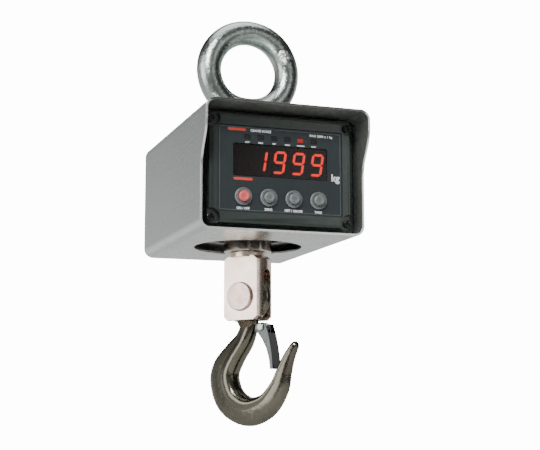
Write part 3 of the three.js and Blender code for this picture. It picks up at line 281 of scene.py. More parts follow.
def mesh_of(name, shells, outward=True, smooth=35):
    """One mesh from shells of (points, faces): doubles merged, faces out, edges over smooth kept sharp."""
    made = bmesh.new()
    for points, faces in shells:
        part = bpy.data.meshes.new("part")
        part.from_pydata((np.asarray(points, float) * MM).tolist(), [], [list(f) for f in faces])
        made.from_mesh(part)
        bpy.data.meshes.remove(part)
    bmesh.ops.remove_doubles(made, verts=made.verts, dist=0.002 * MM)
    if outward:
        bmesh.ops.recalc_face_normals(made, faces=made.faces)
    return shaded(name, made, smooth)


def shaded(name, made, smooth):
    """A bmesh as a mesh, smooth but for edges that turn by more than smooth degrees."""
    limit = math.radians(smooth)
    for edge in made.edges:
        edge.smooth = len(edge.link_faces) == 2 and edge.calc_face_angle(0.0) < limit
    for face in made.faces:
        face.smooth = True
    mesh = bpy.data.meshes.new(name)
    made.to_mesh(mesh)
    made.free()
    return mesh


def eased(piece, width, angle=40, segments=2):
    """A small round on every edge sharper than angle, as a deburred edge has."""
    bevel = piece.modifiers.new("eased", "BEVEL")
    bevel.width = width * MM
    bevel.segments = segments
    bevel.limit_method = "ANGLE"
    bevel.angle_limit = math.radians(angle)
    bevel.harden_normals = True
    bevel.miter_outer = "MITER_ARC"
    return piece


def smoothstep(x, start, end):
    """0 before start, 1 after end, and 3t^2 - 2t^3 between."""
    t = np.clip((x - start) / (end - start), 0, 1)
    return t * t * (3 - 2 * t)


def hood_edge(z):
    """Front edge of the sheet at height z: all of the hood's reach above the knee, none below the
    heel, and a straight slope between them, averaged over the softening length."""
    area = lambda t: np.clip(t, 0, 1) ** 2 / 2 + np.maximum(t - 1, 0)
    fallen = (CASE_TOP - HOOD_SIDE - z) / HOOD_SLANT
    soft = HOOD_SOFTENING / HOOD_SLANT
    return HOOD_FRONT + HOOD_REACH * (area(fallen + soft) - area(fallen - soft)) / (2 * soft)


def case_outline():
    """Points (x, z) round the outside of the folded sheet, from the left end of its floor: straight
    sides with a quarter circle of the bend's radius at each corner."""
    half, rise, bend = CASE_WIDTH / 2, CASE_HEIGHT / 2, CASE_BEND
    row = np.linspace(-WINDOW_HALF, WINDOW_HALF, WINDOW_STEPS + 1)
    side = np.linspace(bend - rise, rise - bend, SIDE_STEPS)[1:-1]
    turn = np.linspace(0, math.pi / 2, BEND_STEPS)
    corner = lambda x, z, start: np.stack(
        [x + bend * np.cos(start + turn), z + bend * np.sin(start + turn)], 1)
    return np.concatenate([
        np.stack([row, np.full(len(row), -rise)], 1), corner(half - bend, bend - rise, -math.pi / 2),
        np.stack([np.full(len(side), half), side], 1), corner(half - bend, rise - bend, 0),
        np.stack([-row, np.full(len(row), rise)], 1), corner(bend - half, rise - bend, math.pi / 2),
        np.stack([np.full(len(side), -half), -side], 1), corner(bend - half, bend - rise, math.pi),
    ])


def window_patch(radius, z):
    """A square of the sheet with a round hole: each ring of points is blended from the circle to
    the square, point by point."""
    steps = np.linspace(-WINDOW_HALF, WINDOW_HALF, WINDOW_STEPS + 1)[:-1]
    full = np.full(WINDOW_STEPS, WINDOW_HALF)
    sides = ((steps, -full), (full, steps), (-steps, full), (-full, -steps))
    square = np.concatenate([np.stack(pair, 1) for pair in sides])
    angle = np.arctan2(square[:, 1], square[:, 0])
    circle = radius * np.stack([np.cos(angle), np.sin(angle)], 1)
    share = np.linspace(0, 1, 9)[:, None, None] ** 1.3
    plane = circle * (1 - share) + square * share
    return sheet_of(np.concatenate([plane, np.full(plane.shape[:2] + (1,), z)], 2), round_columns=True)


def case_shells():
    """The outline carried from the hood's edge to the back, less two squares, and their patches."""
    outline = case_outline()
    height = outline[:, 1] + CASE_MIDDLE
    lengths = np.concatenate([[CASE_FRONT + 2.5], np.linspace(-WINDOW_HALF, WINDOW_HALF, WINDOW_STEPS + 1),
                              [CASE_BACK - 2.5, CASE_BACK]])
    rows = np.concatenate([hood_edge(height)[None], np.repeat(lengths[:, None], len(outline), 1)])
    across, up = (np.repeat(line[None], len(rows), 0) for line in (outline[:, 0], height))
    points = np.stack([across, rows, up], -1)
    places, quads = sheet_of(points, round_columns=True)
    centre = places[quads].mean(1)
    flat = (np.abs(centre[:, 0]) < WINDOW_HALF) & (np.abs(centre[:, 1]) < WINDOW_HALF)
    level = (np.abs(centre[:, 2] - CASE_TOP) < 0.01) | (np.abs(centre[:, 2] - CASE_BOTTOM) < 0.01)
    return [(places, quads[~(flat & level)]), window_patch(FLOOR_HOLE_RADIUS, CASE_BOTTOM),
            window_patch(STUD_HOLE_RADIUS, CASE_TOP)]


def brushed(name, lines, tone, roughness, depth=0.004, shade_above=None):
    """Stainless sheet: fine lines along the brushing, broad cloudy tone, and faint handling marks;
    above a height the colour is taken down to a dark tone as painted shade."""
    finish = Finish(name, Metallic=1.0)
    grain = finish.noise(1, 4, finish.place(lines), 0.7)
    cloud = finish.noise(11, 4)
    smudge = finish.step(finish.noise(38, 5), 0.46, 0.66)
    dark, light = tuple(0.86 * c for c in tone), tuple(min(1.0, 1.10 * c) for c in tone)
    colour = finish.mix(grain * 0.55 + cloud * 0.45, dark, light)
    # Painted shade: above the given height the colour is blended to a dark tone, so the top of the cut edge
    # looks shaded.
    if shade_above:
        height = finish.part_of(finish.place(), 2)
        colour = finish.mix(finish.step(height, (shade_above - 1) * MM, shade_above * MM), colour, TOP_EDGE_SHADE_TONE)
    return finish.feed(
        Base_Color=colour,
        Roughness=roughness + (grain - 0.5) * 0.16 + (cloud - 0.5) * 0.10 + smudge * 0.035,
        Normal=finish.bump(grain, depth * MM))


# The second tone is the painted shade colour for the top of the cut edge.
CASE_TONE, TOP_EDGE_SHADE_TONE = (0.545, 0.605, 0.590), (0.15, 0.16, 0.15)
case_steel = brushed("case_steel", (900, 9, 900), CASE_TONE, 0.27)
# Cut edge: bright sheared steel, with painted shade along its top.
cut_edge = brushed("cut_edge", (700, 700, 700), (0.90, 0.92, 0.91), 0.24, shade_above=CASE_TOP - 2.2)
sleeve_inside = brushed("sleeve_inside", (300, 9, 300), (0.50, 0.54, 0.51), 0.46, 0.002)
case_mesh = mesh_of("case_sleeve_sheet", case_shells())
case = new_piece("case_sleeve_sheet", case_mesh, [case_steel, cut_edge, sleeve_inside], "case",
                 ["case_sleeve"])
wall = case.modifiers.new("wall", "SOLIDIFY")
wall.thickness = CASE_SHEET * MM
wall.offset = -1
wall.use_even_offset = True
wall.material_offset, wall.material_offset_rim = 2, 1
eased(case, 0.35, 55)


# ---------------------------------------------------------------------------------------------
# Cover frames, stiffener, tray and strap: plain cut and folded sheet inside the case, welded or
# screwed in place. They keep their made shapes, with the sharp edges taken off.
def from_node(node, materials, body, ease=0.35, smooth=32, name=None):
    """A merged copy of a node's mesh, with its flat faces whole again and its edges eased."""
    made = bmesh.new()
    made.from_mesh(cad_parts[node].data)
    bmesh.ops.remove_doubles(made, verts=made.verts, dist=0.002 * MM)
    bmesh.ops.dissolve_limit(made, angle_limit=math.radians(0.6), verts=made.verts, edges=made.edges)
    piece = new_piece(name or node + "_finished", shaded(node, made, smooth), materials, body, [node])
    return eased(piece, ease, smooth + 8) if ease else piece


def sheared(name, tone, roughness):
    """Mill-finish sheet: faint rolling lines and a soft cloud in its shine."""
    return brushed(name, (60, 420, 420), tone, roughness, 0.003)


inner_steel = sheared("inner_steel", (0.50, 0.48, 0.46), 0.38)
bright_sheet = sheared("bright_sheet", (0.62, 0.60, 0.60), 0.30)
for node, ease in (("top_stiffener", 0.4), ("front_frame", 0.3), ("rear_frame", 0.3)):
    from_node(node, [inner_steel], "case", ease)
for node in ("inner_tray", "battery_strap"):
    from_node(node, [bright_sheet], "case", 0.3)


# ---------------------------------------------------------------------------------------------
# Lifting eye: a drop-forged ring, flash trimmed off along its middle, on a turned collar whose
# stud runs down into the load cell. Bright zinc plate over a grainy forged skin.
low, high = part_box("eye_bolt")
EYE_BAR, EYE_BORE = 23.5, 54.0
RING_MIDDLE = -EYE_BORE / 2
COLLAR_RADIUS = 30.0
COLLAR_LOW, COLLAR_HIGH = CASE_TOP + 1.8, CASE_TOP + 7.3
STUD_END, STUD_RADIUS = low.z / MM, 12.0


def ring_shell():
    """A bar bent into a circle: round section, a little fuller above and below the parting line,
    thicker towards the collar, and waved by a tenth of a millimetre or two as forging leaves it."""
    turn = np.linspace(0, 2 * math.pi, 193)[:-1, None]
    round_bar = np.linspace(0, 2 * math.pi, 73)[None, :-1]
    down = np.arccos(np.clip(-np.sin(turn), -1, 1))
    radius = EYE_BAR / 2 * (0.985 + 0.13 * np.exp(-(down / 0.42) ** 2))
    radius = radius * (1 - 0.012 * np.exp(-(np.sin(round_bar) / 0.10) ** 2))
    radius = radius + 0.09 * np.sin(3 * turn + 2 * round_bar) + 0.06 * np.sin(7 * turn - 3 * round_bar)
    out = (EYE_BORE + EYE_BAR) / 2 + radius * np.cos(round_bar)
    deep = radius * np.sin(round_bar) + 0 * turn
    return sheet_of(np.stack([out * np.cos(turn), deep, RING_MIDDLE + out * np.sin(turn)], -1), True, True)


def turned(profile, centre=(0, 0, 0), axis="z", steps=64):
    """A profile of (radius, along) pairs turned about a line through centre along axis; a profile
    that meets the line is closed there."""
    profile = np.asarray(profile, float)
    angle = np.linspace(0, 2 * math.pi, steps + 1)[:-1, None]
    radius, along = profile[None, :, 0], profile[None, :, 1] + 0 * angle
    first, second = radius * np.cos(angle), radius * np.sin(angle)
    order = {"z": [first, second, along], "y": [first, along, second], "x": [along, first, second]}
    return sheet_of(np.stack(order[axis], -1) + np.asarray(centre, float), round_rows=True)


def arc(centre, radius, start, end, steps=8):
    """Points of a circular arc of a profile, from start to end degrees."""
    angle = np.radians(np.linspace(start, end, steps + 1))
    return [(centre[0] + radius * c, centre[1] + radius * s) for c, s in zip(np.cos(angle), np.sin(angle))]


collar = [(0, COLLAR_LOW), *arc((COLLAR_RADIUS - 0.8, COLLAR_LOW + 0.8), 0.8, -90, 0, 4),
          *arc((COLLAR_RADIUS - 1.5, COLLAR_HIGH - 1.5), 1.5, 0, 90, 6),
          *arc((21.5, COLLAR_HIGH + 6.0), 6.0, -90, -178, 10), (13.5, COLLAR_HIGH + 9), (0, COLLAR_HIGH + 9)]
stud = [(0, STUD_END), (STUD_RADIUS - 1, STUD_END), (STUD_RADIUS, STUD_END + 1),
        (STUD_RADIUS, COLLAR_LOW + 0.5), (0, COLLAR_LOW + 0.5)]


def forged(name, dark, light, roughness, grain_size, grain_depth, metallic=1.0, scar=None):
    """Forged skin under bright plating: a fine pebbled grain that shows where the plate is thin,
    cloudy tone, scuffed streaks, and a scar where the flash was ground off."""
    finish = Finish(name, Metallic=metallic)
    pebble = finish.noise(grain_size, 5, roughness=0.62)
    cloud = finish.noise(26, 5)
    scuff = finish.step(finish.noise(1, 5, finish.place((260, 260, 40), turn=(0.5, 0.4, 0)), 0.7), 0.56, 0.72)
    tone = finish.mix(pebble * 0.5 + cloud * 0.5, dark, light)
    tone = finish.mix(scuff * 0.35, tone, tuple(min(1, 1.35 * c) for c in light))
    shine = roughness + (pebble - 0.5) * 0.30 + (cloud - 0.5) * 0.16 - scuff * 0.05
    relief = pebble * 0.75 + cloud * 1.6
    if scar:
        here = finish.node("ShaderNodeTexCoord", output="Object")
        away = finish.node("ShaderNodeVectorMath", {"operation": "DISTANCE"}, {0: here, 1: scar}, "Value")
        patch = finish.step(away + (cloud - 0.5) * 0.012, 0.0085, 0.0045)
        ragged = finish.noise(330, 4)
        tone = finish.mix(patch * finish.step(ragged, 0.38, 0.55), tone, (0.93, 0.92, 0.90))
        relief = relief + patch * ragged * 3.4
    return finish.feed(Base_Color=tone, Roughness=shine, Normal=finish.bump(relief, grain_depth * MM))


eye_plate = forged("eye_plate", (0.24, 0.29, 0.265), (0.60, 0.66, 0.63), 0.21, 430, 0.48,
                   scar=(0.0335, -0.0105, -0.0115))
eye_mesh = mesh_of("lifting_eye", [ring_shell(), turned(collar), turned(stud, steps=40)])
new_piece("lifting_eye", eye_mesh, [eye_plate], "case", ["eye_bolt"])


# ---------------------------------------------------------------------------------------------
# Load line inside the case: gasket and nut of the eye, the S-shaped alloy load cell, and the
# round swivel housing with two spanner flats, its ring, races, balls and nut.
def rubber(name, tone=(0.022, 0.022, 0.023), roughness=0.62):
    """Moulded rubber: matt, with a faint bloom and a fine pitted skin."""
    finish = Finish(name)
    bloom = finish.noise(45, 4)
    skin = finish.noise(1500, 3)
    colour = finish.mix(finish.step(bloom, 0.4, 0.75), tone, tuple(2.1 * c for c in tone))
    return finish.feed(Base_Color=colour, Roughness=roughness + (bloom - 0.5) * 0.2,
                       Normal=finish.bump(skin, 0.02 * MM))


def machined(name, dark, light, roughness, ridge, stretch=(30, 30, 1900)):
    """Turned or milled steel: tool lines square to the stretch's fine way, over a cloudy stain."""
    finish = Finish(name, Metallic=1.0)
    lines = finish.noise(1, 3, finish.place(stretch), 0.6)
    cloud = finish.noise(60, 4)
    nick = finish.step(finish.noise(240, 4), 0.66, 0.74)
    colour = finish.mix(lines * 0.4 + cloud * 0.6, dark, light)
    shine = roughness + (lines - 0.5) * 0.14 + (cloud - 0.5) * 0.12 + nick * 0.1
    return finish.feed(Base_Color=colour, Roughness=shine,
                       Normal=finish.bump(lines - nick * 0.8, ridge * MM))


gasket_rubber = rubber("gasket_rubber")
turned_steel = machined("turned_steel", (0.34, 0.315, 0.27), (0.62, 0.585, 0.53), 0.18, 0.006)
cell_alloy = machined("cell_alloy", (0.52, 0.53, 0.54), (0.70, 0.71, 0.72), 0.36, 0.008, (900, 30, 30))
race_steel = machined("race_steel", (0.55, 0.55, 0.55), (0.80, 0.80, 0.80), 0.14, 0.004, (300, 300, 20))
nut_plate = machined("nut_plate", (0.42, 0.45, 0.44), (0.66, 0.69, 0.68), 0.30, 0.010, (30, 30, 700))
from_node("eye_gasket", [gasket_rubber], "case", 0.2)
from_node("eye_nut", [nut_plate], "case", 0.6, 50)
from_node("load_cell", [cell_alloy], "case", 0.5)
for node in ("bezel_gasket", "back_gasket"):
    from_node(node, [gasket_rubber], "case", 0.15)
from_node("swivel_ring", [turned_steel], "case", 0.3)
from_node("bearing_lower_race", [race_steel], "case", 0.2)
from_node("bearing_upper_race", [race_steel], "swivel", 0.2)
from_node("bearing_cage", [race_steel], "swivel", 0, 70)
from_node("spindle_nut", [turned_steel], "swivel", 0.3)

low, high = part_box("swivel_housing")
HOUSING_LOW, STUD_TOP = low.z / MM, high.z / MM
HOUSING_HIGH = HOUSING_LOW + 31
SHANK_RADIUS, HOUSING_FLAT, HOUSING_FLAT_TOP = 22.0, 20.5, HOUSING_LOW + 22
CAVITY_RADIUS, CAVITY_TOP = 18.0, HOUSING_LOW + 25.0


def housing_shell():
    """A turned outline whose lower part is held in to the two flats: there the radius is the
    smaller of the round's and the flat's distance over the cosine of the angle from its middle."""
    outline = np.array([
        (0, CAVITY_TOP), (CAVITY_RADIUS, CAVITY_TOP), (CAVITY_RADIUS, HOUSING_LOW),
        (SHANK_RADIUS - 1, HOUSING_LOW), (SHANK_RADIUS, HOUSING_LOW + 1),
        (SHANK_RADIUS, HOUSING_FLAT_TOP), (SHANK_RADIUS, HOUSING_FLAT_TOP + 0.02),
        (SHANK_RADIUS, HOUSING_HIGH - 1), (SHANK_RADIUS - 1, HOUSING_HIGH), (STUD_RADIUS, HOUSING_HIGH),
        (STUD_RADIUS, STUD_TOP - 1), (STUD_RADIUS - 1, STUD_TOP), (0, STUD_TOP)])
    edge = math.pi / 2 - math.acos(HOUSING_FLAT / SHANK_RADIUS)
    quarter = np.concatenate([np.linspace(0, edge, 24), np.linspace(edge, math.pi / 2, 8)[1:-1]])
    half = np.concatenate([quarter, math.pi - quarter[::-1]])
    angle = np.unique(np.round(np.concatenate([half, half + math.pi]) % (2 * math.pi), 9))[:, None]
    low_part = (outline[:, 1] < HOUSING_FLAT_TOP + 0.01) & (outline[:, 0] > CAVITY_RADIUS)
    limit = HOUSING_FLAT / np.maximum(np.abs(np.sin(angle)), 1e-6)
    radius = np.where(low_part, np.minimum(outline[None, :, 0], limit), outline[None, :, 0])
    points = np.stack([radius * np.cos(angle), radius * np.sin(angle), outline[None, :, 1] + 0 * angle], -1)
    return sheet_of(points, round_rows=True)


housing = new_piece("swivel_housing_turned", mesh_of("swivel_housing_turned", [housing_shell()], smooth=22),
                    [turned_steel], "case", ["swivel_housing"])
eased(housing, 0.3, 40)


# ---------------------------------------------------------------------------------------------
# Clevis: a bright-nickel round bar milled flat on two faces and slotted for the hook's eye. A
# plain pin crosses it; its faced end shows the turning marks and a few random scratches.
HOOK_TURN = math.radians(-51.7)
pin_low, pin_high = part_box("clevis_pin")
PIN_HEIGHT = (pin_low.z + pin_high.z) / 2 / MM
PIN_RADIUS, PIN_HALF = 13.0, 15.5


def swivelled(shell):
    """Points drawn with the hook's plane along X, turned to where the swivel rests."""
    points, faces = shell
    c, s = math.cos(HOOK_TURN), math.sin(HOOK_TURN)
    return points @ np.array([[c, s, 0], [-s, c, 0], [0, 0, 1]]), faces


def milled(name, dark, light, roughness):
    """Milled flats under thin nickel: fine level lines with a warm cast that drifts over the face."""
    finish = Finish(name, Metallic=1.0)
    lines = finish.noise(1, 4, finish.place((34, 34, 1500)), 0.65)
    cloud = finish.noise(34, 4)
    stain = finish.step(finish.noise(95, 5), 0.50, 0.70)
    colour = finish.mix(finish.step(cloud, 0.30, 0.70), dark, light)
    colour = finish.mix(stain * 0.25, colour, (0.64, 0.50, 0.42))
    return finish.feed(Base_Color=colour, Roughness=roughness + (lines - 0.5) * 0.16 + stain * 0.06,
                       Normal=finish.bump(lines, 0.010 * MM))


def pin_face_finish():
    """Turned end of the pin: rings about its axis, crossed by a few short bright scratches."""
    finish = Finish("pin_face", Metallic=1.0)
    centred = finish.place(shift=(0, 0, PIN_HEIGHT * MM))
    flat = finish.node("ShaderNodeMapping", {"vector_type": "POINT"},
                       {"Vector": centred, "Rotation": (0, 0, -HOOK_TURN)})
    across, up = finish.part_of(flat, 0), finish.part_of(flat, 2)
    off = (across * across + up * up) ** 0.5
    rings = finish.node("ShaderNodeMath", {"operation": "SINE"}, {0: off * 7400 + finish.noise(120) * 5})
    cloud = finish.noise(150, 4)
    scored = finish.noise(1, 4, finish.place((900, 900, 160), turn=(0.2, 0.6, 0.5)), 0.7)
    scratch = finish.step(scored, 0.60, 0.68)
    colour = finish.mix(finish.step(cloud, 0.35, 0.65), (0.62, 0.46, 0.41), (0.80, 0.64, 0.58))
    colour = finish.mix(scratch * 0.6, colour, (0.95, 0.93, 0.92))
    return finish.feed(Base_Color=colour, Roughness=0.30 + rings * 0.04 + scratch * 0.08,
                       Normal=finish.bump(rings * 0.35 - scratch, 0.012 * MM))


clevis_nickel = milled("clevis_nickel", (0.80, 0.62, 0.52), (0.95, 0.79, 0.70), 0.24)
from_node("clevis", [clevis_nickel], "swivel", 0.45, 30, "clevis_milled")
pin = [(0, -PIN_HALF), (PIN_RADIUS - 1.1, -PIN_HALF),
       *arc((PIN_RADIUS - 0.9, 0.9 - PIN_HALF), 0.9, -80, 0, 5),
       (PIN_RADIUS, PIN_HALF - 0.9), (PIN_RADIUS - 0.9, PIN_HALF), (0, PIN_HALF)]
pin_mesh = mesh_of("clevis_pin_turned", [swivelled(turned(pin, (0, 0, PIN_HEIGHT), "y", 72))])
new_piece("clevis_pin_turned", pin_mesh, [pin_face_finish()], "swivel", ["clevis_pin"])


def black_oxide(name):
    """Oiled black-oxide steel: near black, browner and brighter where it has rubbed."""
    finish = Finish(name, Metallic=0.85)
    rub = finish.step(finish.noise(420, 4), 0.52, 0.70)
    colour = finish.mix(rub, (0.028, 0.029, 0.030), (0.12, 0.11, 0.10))
    return finish.feed(Base_Color=colour, Roughness=0.30 + rub * 0.12, Normal=finish.bump(rub, 0.02 * MM))


screw_black = black_oxide("screw_black")
from_node("pin_lock_screw", [screw_black], "swivel", 0.3)


# ---------------------------------------------------------------------------------------------
# Hook: drop forged, with a thick round bead inside the bend and a thinner flange outside it that
# fades out towards the ground point. Its eye turns on the clevis pin. Warm, worn nickel finish.
# Across from the pin, up from it, half width, half thickness; then the bead's middle as a share
# of the half width, and the flange's thickness as a share of the bead's.
HOOK_LINE = np.array([
    (0.0, -17.0, 14.0, 4.6, 0.10, 0.99), (0.8, -22.5, 11.3, 4.9, 0.14, 0.95),
    (0.9, -29.0, 9.0, 7.4, 0.20, 0.80), (-4.6, -40.5, 9.8, 9.1, 0.28, 0.66),
    (-15.6, -53.0, 11.9, 9.7, 0.38, 0.58), (-24.2, -65.5, 14.2, 10.1, 0.44, 0.54),
    (-25.6, -77.5, 15.1, 10.3, 0.46, 0.54), (-19.6, -92.5, 15.1, 10.3, 0.46, 0.56),
    (-7.0, -101.9, 14.0, 10.3, 0.48, 0.62), (7.0, -104.3, 12.9, 10.1, 0.55, 0.74),
    (23.4, -98.0, 11.2, 9.5, 0.60, 0.88), (34.8, -83.8, 9.2, 8.5, 0.60, 0.96),
    (40.0, -69.0, 6.9, 7.1, 0.52, 1.00), (44.6, -57.0, 5.5, 5.7, 0.40, 1.00),
    (49.5, -48.0, 4.2, 4.5, 0.20, 1.00),
])
HOOK_POINT = np.array([53.2, -42.6])
HOOK_RINGS, HOOK_SIDES, POINT_RINGS = 150, 88, 9
EYE_RADIUS, EYE_HALF, EYE_HOLE = 24.5, 5.2, 13.35
LUG_PLACE, LUG_ROUND = (18.6, -28.4), 4.5


def through(rows, count):
    """A smooth curve through rows of numbers: Catmull-Rom pieces, whose slope at each row is half
    the step between its neighbours."""
    ends = np.vstack([2 * rows[0] - rows[1], rows, 2 * rows[-1] - rows[-2]])
    t = np.linspace(0, len(rows) - 1, count)
    i = np.minimum(t.astype(int), len(rows) - 2)
    t = (t - i)[:, None]
    a, b, c, d = ends[i], ends[i + 1], ends[i + 2], ends[i + 3]
    bent = t ** 2 * (a - 2.5 * b + 2 * c - d / 2)
    return b + t * (c - a) / 2 + bent + t ** 3 * (1.5 * (b - c) + (d - a) / 2)


def hook_section(across, bead, flange):
    """Half thickness over a section, as a share: an ellipse for the bead about its middle, joined to
    a flatter flange that rises towards it, whichever stands higher, with a short fillet between."""
    bead_round = np.sqrt(np.clip(1 - ((across - bead) / (1 - bead)) ** 2, 0, 1))
    lip = np.sqrt(np.clip(1 - np.abs(np.minimum(across - bead, 0) / (1 + bead)) ** 3.2, 0, 1))
    rise = flange + (1 - flange) * smoothstep(across, -1, bead) * 0.35
    web = lip * rise * np.where(across > bead, bead_round, 1)
    low_part = np.where(across < 2 * bead - 1, 0, bead_round)
    return (web ** 14 + low_part ** 14 + 1e-12) ** (1 / 14) / 2 ** (1 / 14) * 1.02


def hook_shell():
    """Sections square to the hook's line, narrowed to a round nose over the last few rings, and a
    pole at each end."""
    line = through(HOOK_LINE, HOOK_RINGS)
    nose = np.linspace(0.35, math.pi / 2, POINT_RINGS)
    tip = np.repeat(line[-1:], POINT_RINGS, 0)
    tip[:, :2] = line[-1, :2] + np.sin(nose)[:, None] * (HOOK_POINT - line[-1, :2])
    tip[:, 2:4] = line[-1, 2:4] * np.cos(nose)[:, None]
    line = np.vstack([line, tip])
    line[0, 2:4] *= 0.02
    step = np.gradient(line[:, :2], axis=0)
    step[-POINT_RINGS:] = HOOK_POINT - line[-POINT_RINGS - 1, :2]
    step /= np.linalg.norm(step, axis=1, keepdims=True)
    angle = np.linspace(0, 2 * math.pi, HOOK_SIDES + 1)[None, :-1]
    across = np.cos(angle)
    reach = across * line[:, 2:3]
    thick = np.sign(np.sin(angle)) * hook_section(across, line[:, 4:5], line[:, 5:6]) * line[:, 3:4]
    x = line[:, 0:1] - step[:, 1:2] * reach
    z = line[:, 1:2] + step[:, 0:1] * reach
    return sheet_of(np.stack([x, thick, z + PIN_HEIGHT], -1), round_columns=True)


def hook_eye_shell():
    """A flat ring about the pin with half-round outside."""
    profile = [(EYE_HOLE, 0.3 - EYE_HALF), (EYE_HOLE + 0.3, -EYE_HALF),
               *arc((EYE_RADIUS - EYE_HALF, 0), EYE_HALF, -90, 90, 14),
               (EYE_HOLE + 0.3, EYE_HALF), (EYE_HOLE, EYE_HALF - 0.3), (EYE_HOLE, 0.3 - EYE_HALF)]
    return turned(profile, (0, 0, PIN_HEIGHT), "y", 96)


def latch_lug_shell():
    """A round-nosed tongue from the neck out to the latch's rivet: a long oval carried across the
    hook, a little slimmer at its rims."""
    angle = np.linspace(0, 2 * math.pi, 49)[:-1]
    reach = np.where(np.cos(angle) > 0, 0, -12.0)
    rim = np.stack([reach + LUG_ROUND * np.cos(angle), LUG_ROUND * np.sin(angle)], 1) + LUG_PLACE
    middle = np.array([LUG_PLACE[0] - 4, LUG_PLACE[1]])
    layers = [(0.02, -2.45), (0.88, -2.45), (1, -1.9), (1, 1.9), (0.88, 2.45), (0.02, 2.45)]
    rows = [np.insert(middle + (rim - middle) * share, 1, depth, axis=1) for share, depth in layers]
    return sheet_of(np.stack(rows) + [0, 0, PIN_HEIGHT], round_columns=True)


hook_nickel = forged("hook_nickel", (0.062, 0.058, 0.044), (0.225, 0.212, 0.170), 0.18, 330, 0.21)
hook_shells = [swivelled(shell) for shell in (hook_shell(), hook_eye_shell(), latch_lug_shell())]
hook_mesh = mesh_of("hook_forging", hook_shells, smooth=50)
new_piece("hook_forging", hook_mesh, [hook_nickel], "hook_body", ["hook"])


# ---------------------------------------------------------------------------------------------
# Safety latch: pressed from thin bright sheet into a channel, hung on a riveted pin, with a
# small torsion spring that holds its tongue against the inside of the hook's point.
def pressed(name, dark, light, roughness):
    """Bright pressed sheet: drawn lines down its length and mottled plating between them."""
    finish = Finish(name, Metallic=1.0)
    drawn = finish.noise(1, 4, finish.place((620, 620, 40)), 0.65)
    mottle = finish.noise(260, 4)
    colour = finish.mix(drawn * 0.4 + mottle * 0.6, dark, light)
    return finish.feed(Base_Color=colour, Roughness=roughness + (mottle - 0.5) * 0.2,
                       Normal=finish.bump(drawn + mottle * 0.6, 0.02 * MM))


# The latch's near-black tones are a painted dark reflection: its bright sheet is coloured like the dim
# surroundings it mirrors.
latch_painted_reflection = pressed("latch_painted_reflection", (0.020, 0.022, 0.024), (0.15, 0.158, 0.162), 0.24)
spring_steel = pressed("spring_steel", (0.30, 0.31, 0.33), (0.62, 0.63, 0.65), 0.25)
from_node("latch", [latch_painted_reflection], "latch_body", 0.45, 30, "latch_channel")
from_node("latch_spring", [spring_steel], "latch_body", 0, 80, "latch_spring_wire")
RIVET_HEAD, RIVET_SHANK, RIVET_IN, RIVET_OUT = 3.74, 2.2, 7.3, 8.7
rivet = [(0, -RIVET_OUT), *arc((RIVET_HEAD - 1.2, 1.2 - RIVET_OUT), 1.2, -90, 0, 6), (RIVET_HEAD, -RIVET_IN),
         (RIVET_SHANK, -RIVET_IN), (RIVET_SHANK, RIVET_IN), (RIVET_HEAD, RIVET_IN),
         *arc((RIVET_HEAD - 1.2, RIVET_OUT - 1.2), 1.2, 0, 90, 6), (0, RIVET_OUT)]
rivet_shell = turned(rivet, (LUG_PLACE[0], 0, PIN_HEIGHT + LUG_PLACE[1]), "y", 40)
rivet_mesh = mesh_of("latch_rivet_headed", [swivelled(rivet_shell)])
new_piece("latch_rivet_headed", rivet_mesh, [eye_plate], "hook_body", ["latch_rivet"])


# ---------------------------------------------------------------------------------------------
# Display bezel: a moulded black-green lid with a raised, round-edged middle and a round pocket
# at each corner for its screw. Satin plastic with a fine spark-eroded texture.
def moulded(name, dark, light, roughness, grain, depth, coat=0.0):
    """Moulded plastic: even tone with a slow drift, a fine pebbled skin and faint handling shine."""
    finish = Finish(name, Coat_Weight=coat, Coat_Roughness=0.12, Specular_IOR_Level=0.55)
    drift = finish.noise(22, 3)
    skin = finish.noise(grain, 3, roughness=0.6)
    handled = finish.step(finish.noise(60, 4), 0.48, 0.72)
    return finish.feed(Base_Color=finish.mix(drift, dark, light),
                       Roughness=roughness + (skin - 0.5) * 0.12 - handled * 0.06,
                       Normal=finish.bump(skin, depth * MM))


lid_plastic = moulded("lid_plastic", (0.016, 0.0250, 0.0215), (0.028, 0.040, 0.0350), 0.22, 1400, 0.008)
from_node("bezel", [lid_plastic], "case", 0.5, 42, "bezel_moulding")


# ---------------------------------------------------------------------------------------------
# Label: printed polyester film stuck in the bezel's seat. White words name the keys and lights;
# plain red bars stand where a maker would print a name.
low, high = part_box("label_plate")
LABEL_FACE = low.y / MM
LABEL_LEFT, LABEL_RIGHT, LABEL_LOW, LABEL_HIGH = low.x / MM, high.x / MM, low.z / MM, high.z / MM
low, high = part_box("display_lens")
WINDOW_LOW, WINDOW_HIGH = low.z / MM, high.z / MM
BUTTON_PLACES = [sum(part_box(f"button_{i}")[k].x for k in (0, 1)) / 2 / MM for i in (1, 2, 3, 4)]
BUTTON_LEVEL = sum(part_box("button_1")[k].z for k in (0, 1)) / 2 / MM
STATUS_LEVEL = WINDOW_HIGH + 0.3 + 4.03
STATUS_PLACES = [(i - 2.5) * 12.3 for i in range(6)]


def film(name, dark, light):
    """Satin polyester film: slate ink under a fine even grain."""
    finish = Finish(name, Specular_IOR_Level=0.45)
    grain = finish.noise(1100, 2)
    drift = finish.noise(16, 3)
    return finish.feed(Base_Color=finish.mix(drift * 0.7 + grain * 0.3, dark, light),
                       Roughness=0.40 + (grain - 0.5) * 0.16, Normal=finish.bump(grain, 0.006 * MM))


def ink(name, colour):
    """Screen-printed ink, a little thin in places."""
    finish = Finish(name)
    thin = finish.step(finish.noise(900, 3), 0.35, 0.6)
    return finish.feed(Base_Color=finish.mix(thin, tuple(0.86 * c for c in colour), colour),
                       Roughness=0.45 + thin * 0.1)


label_slate = film("label_slate", (0.019, 0.027, 0.030), (0.028, 0.037, 0.041))
from_node("label_plate", [label_slate], "case", 0, 60, "label_film")


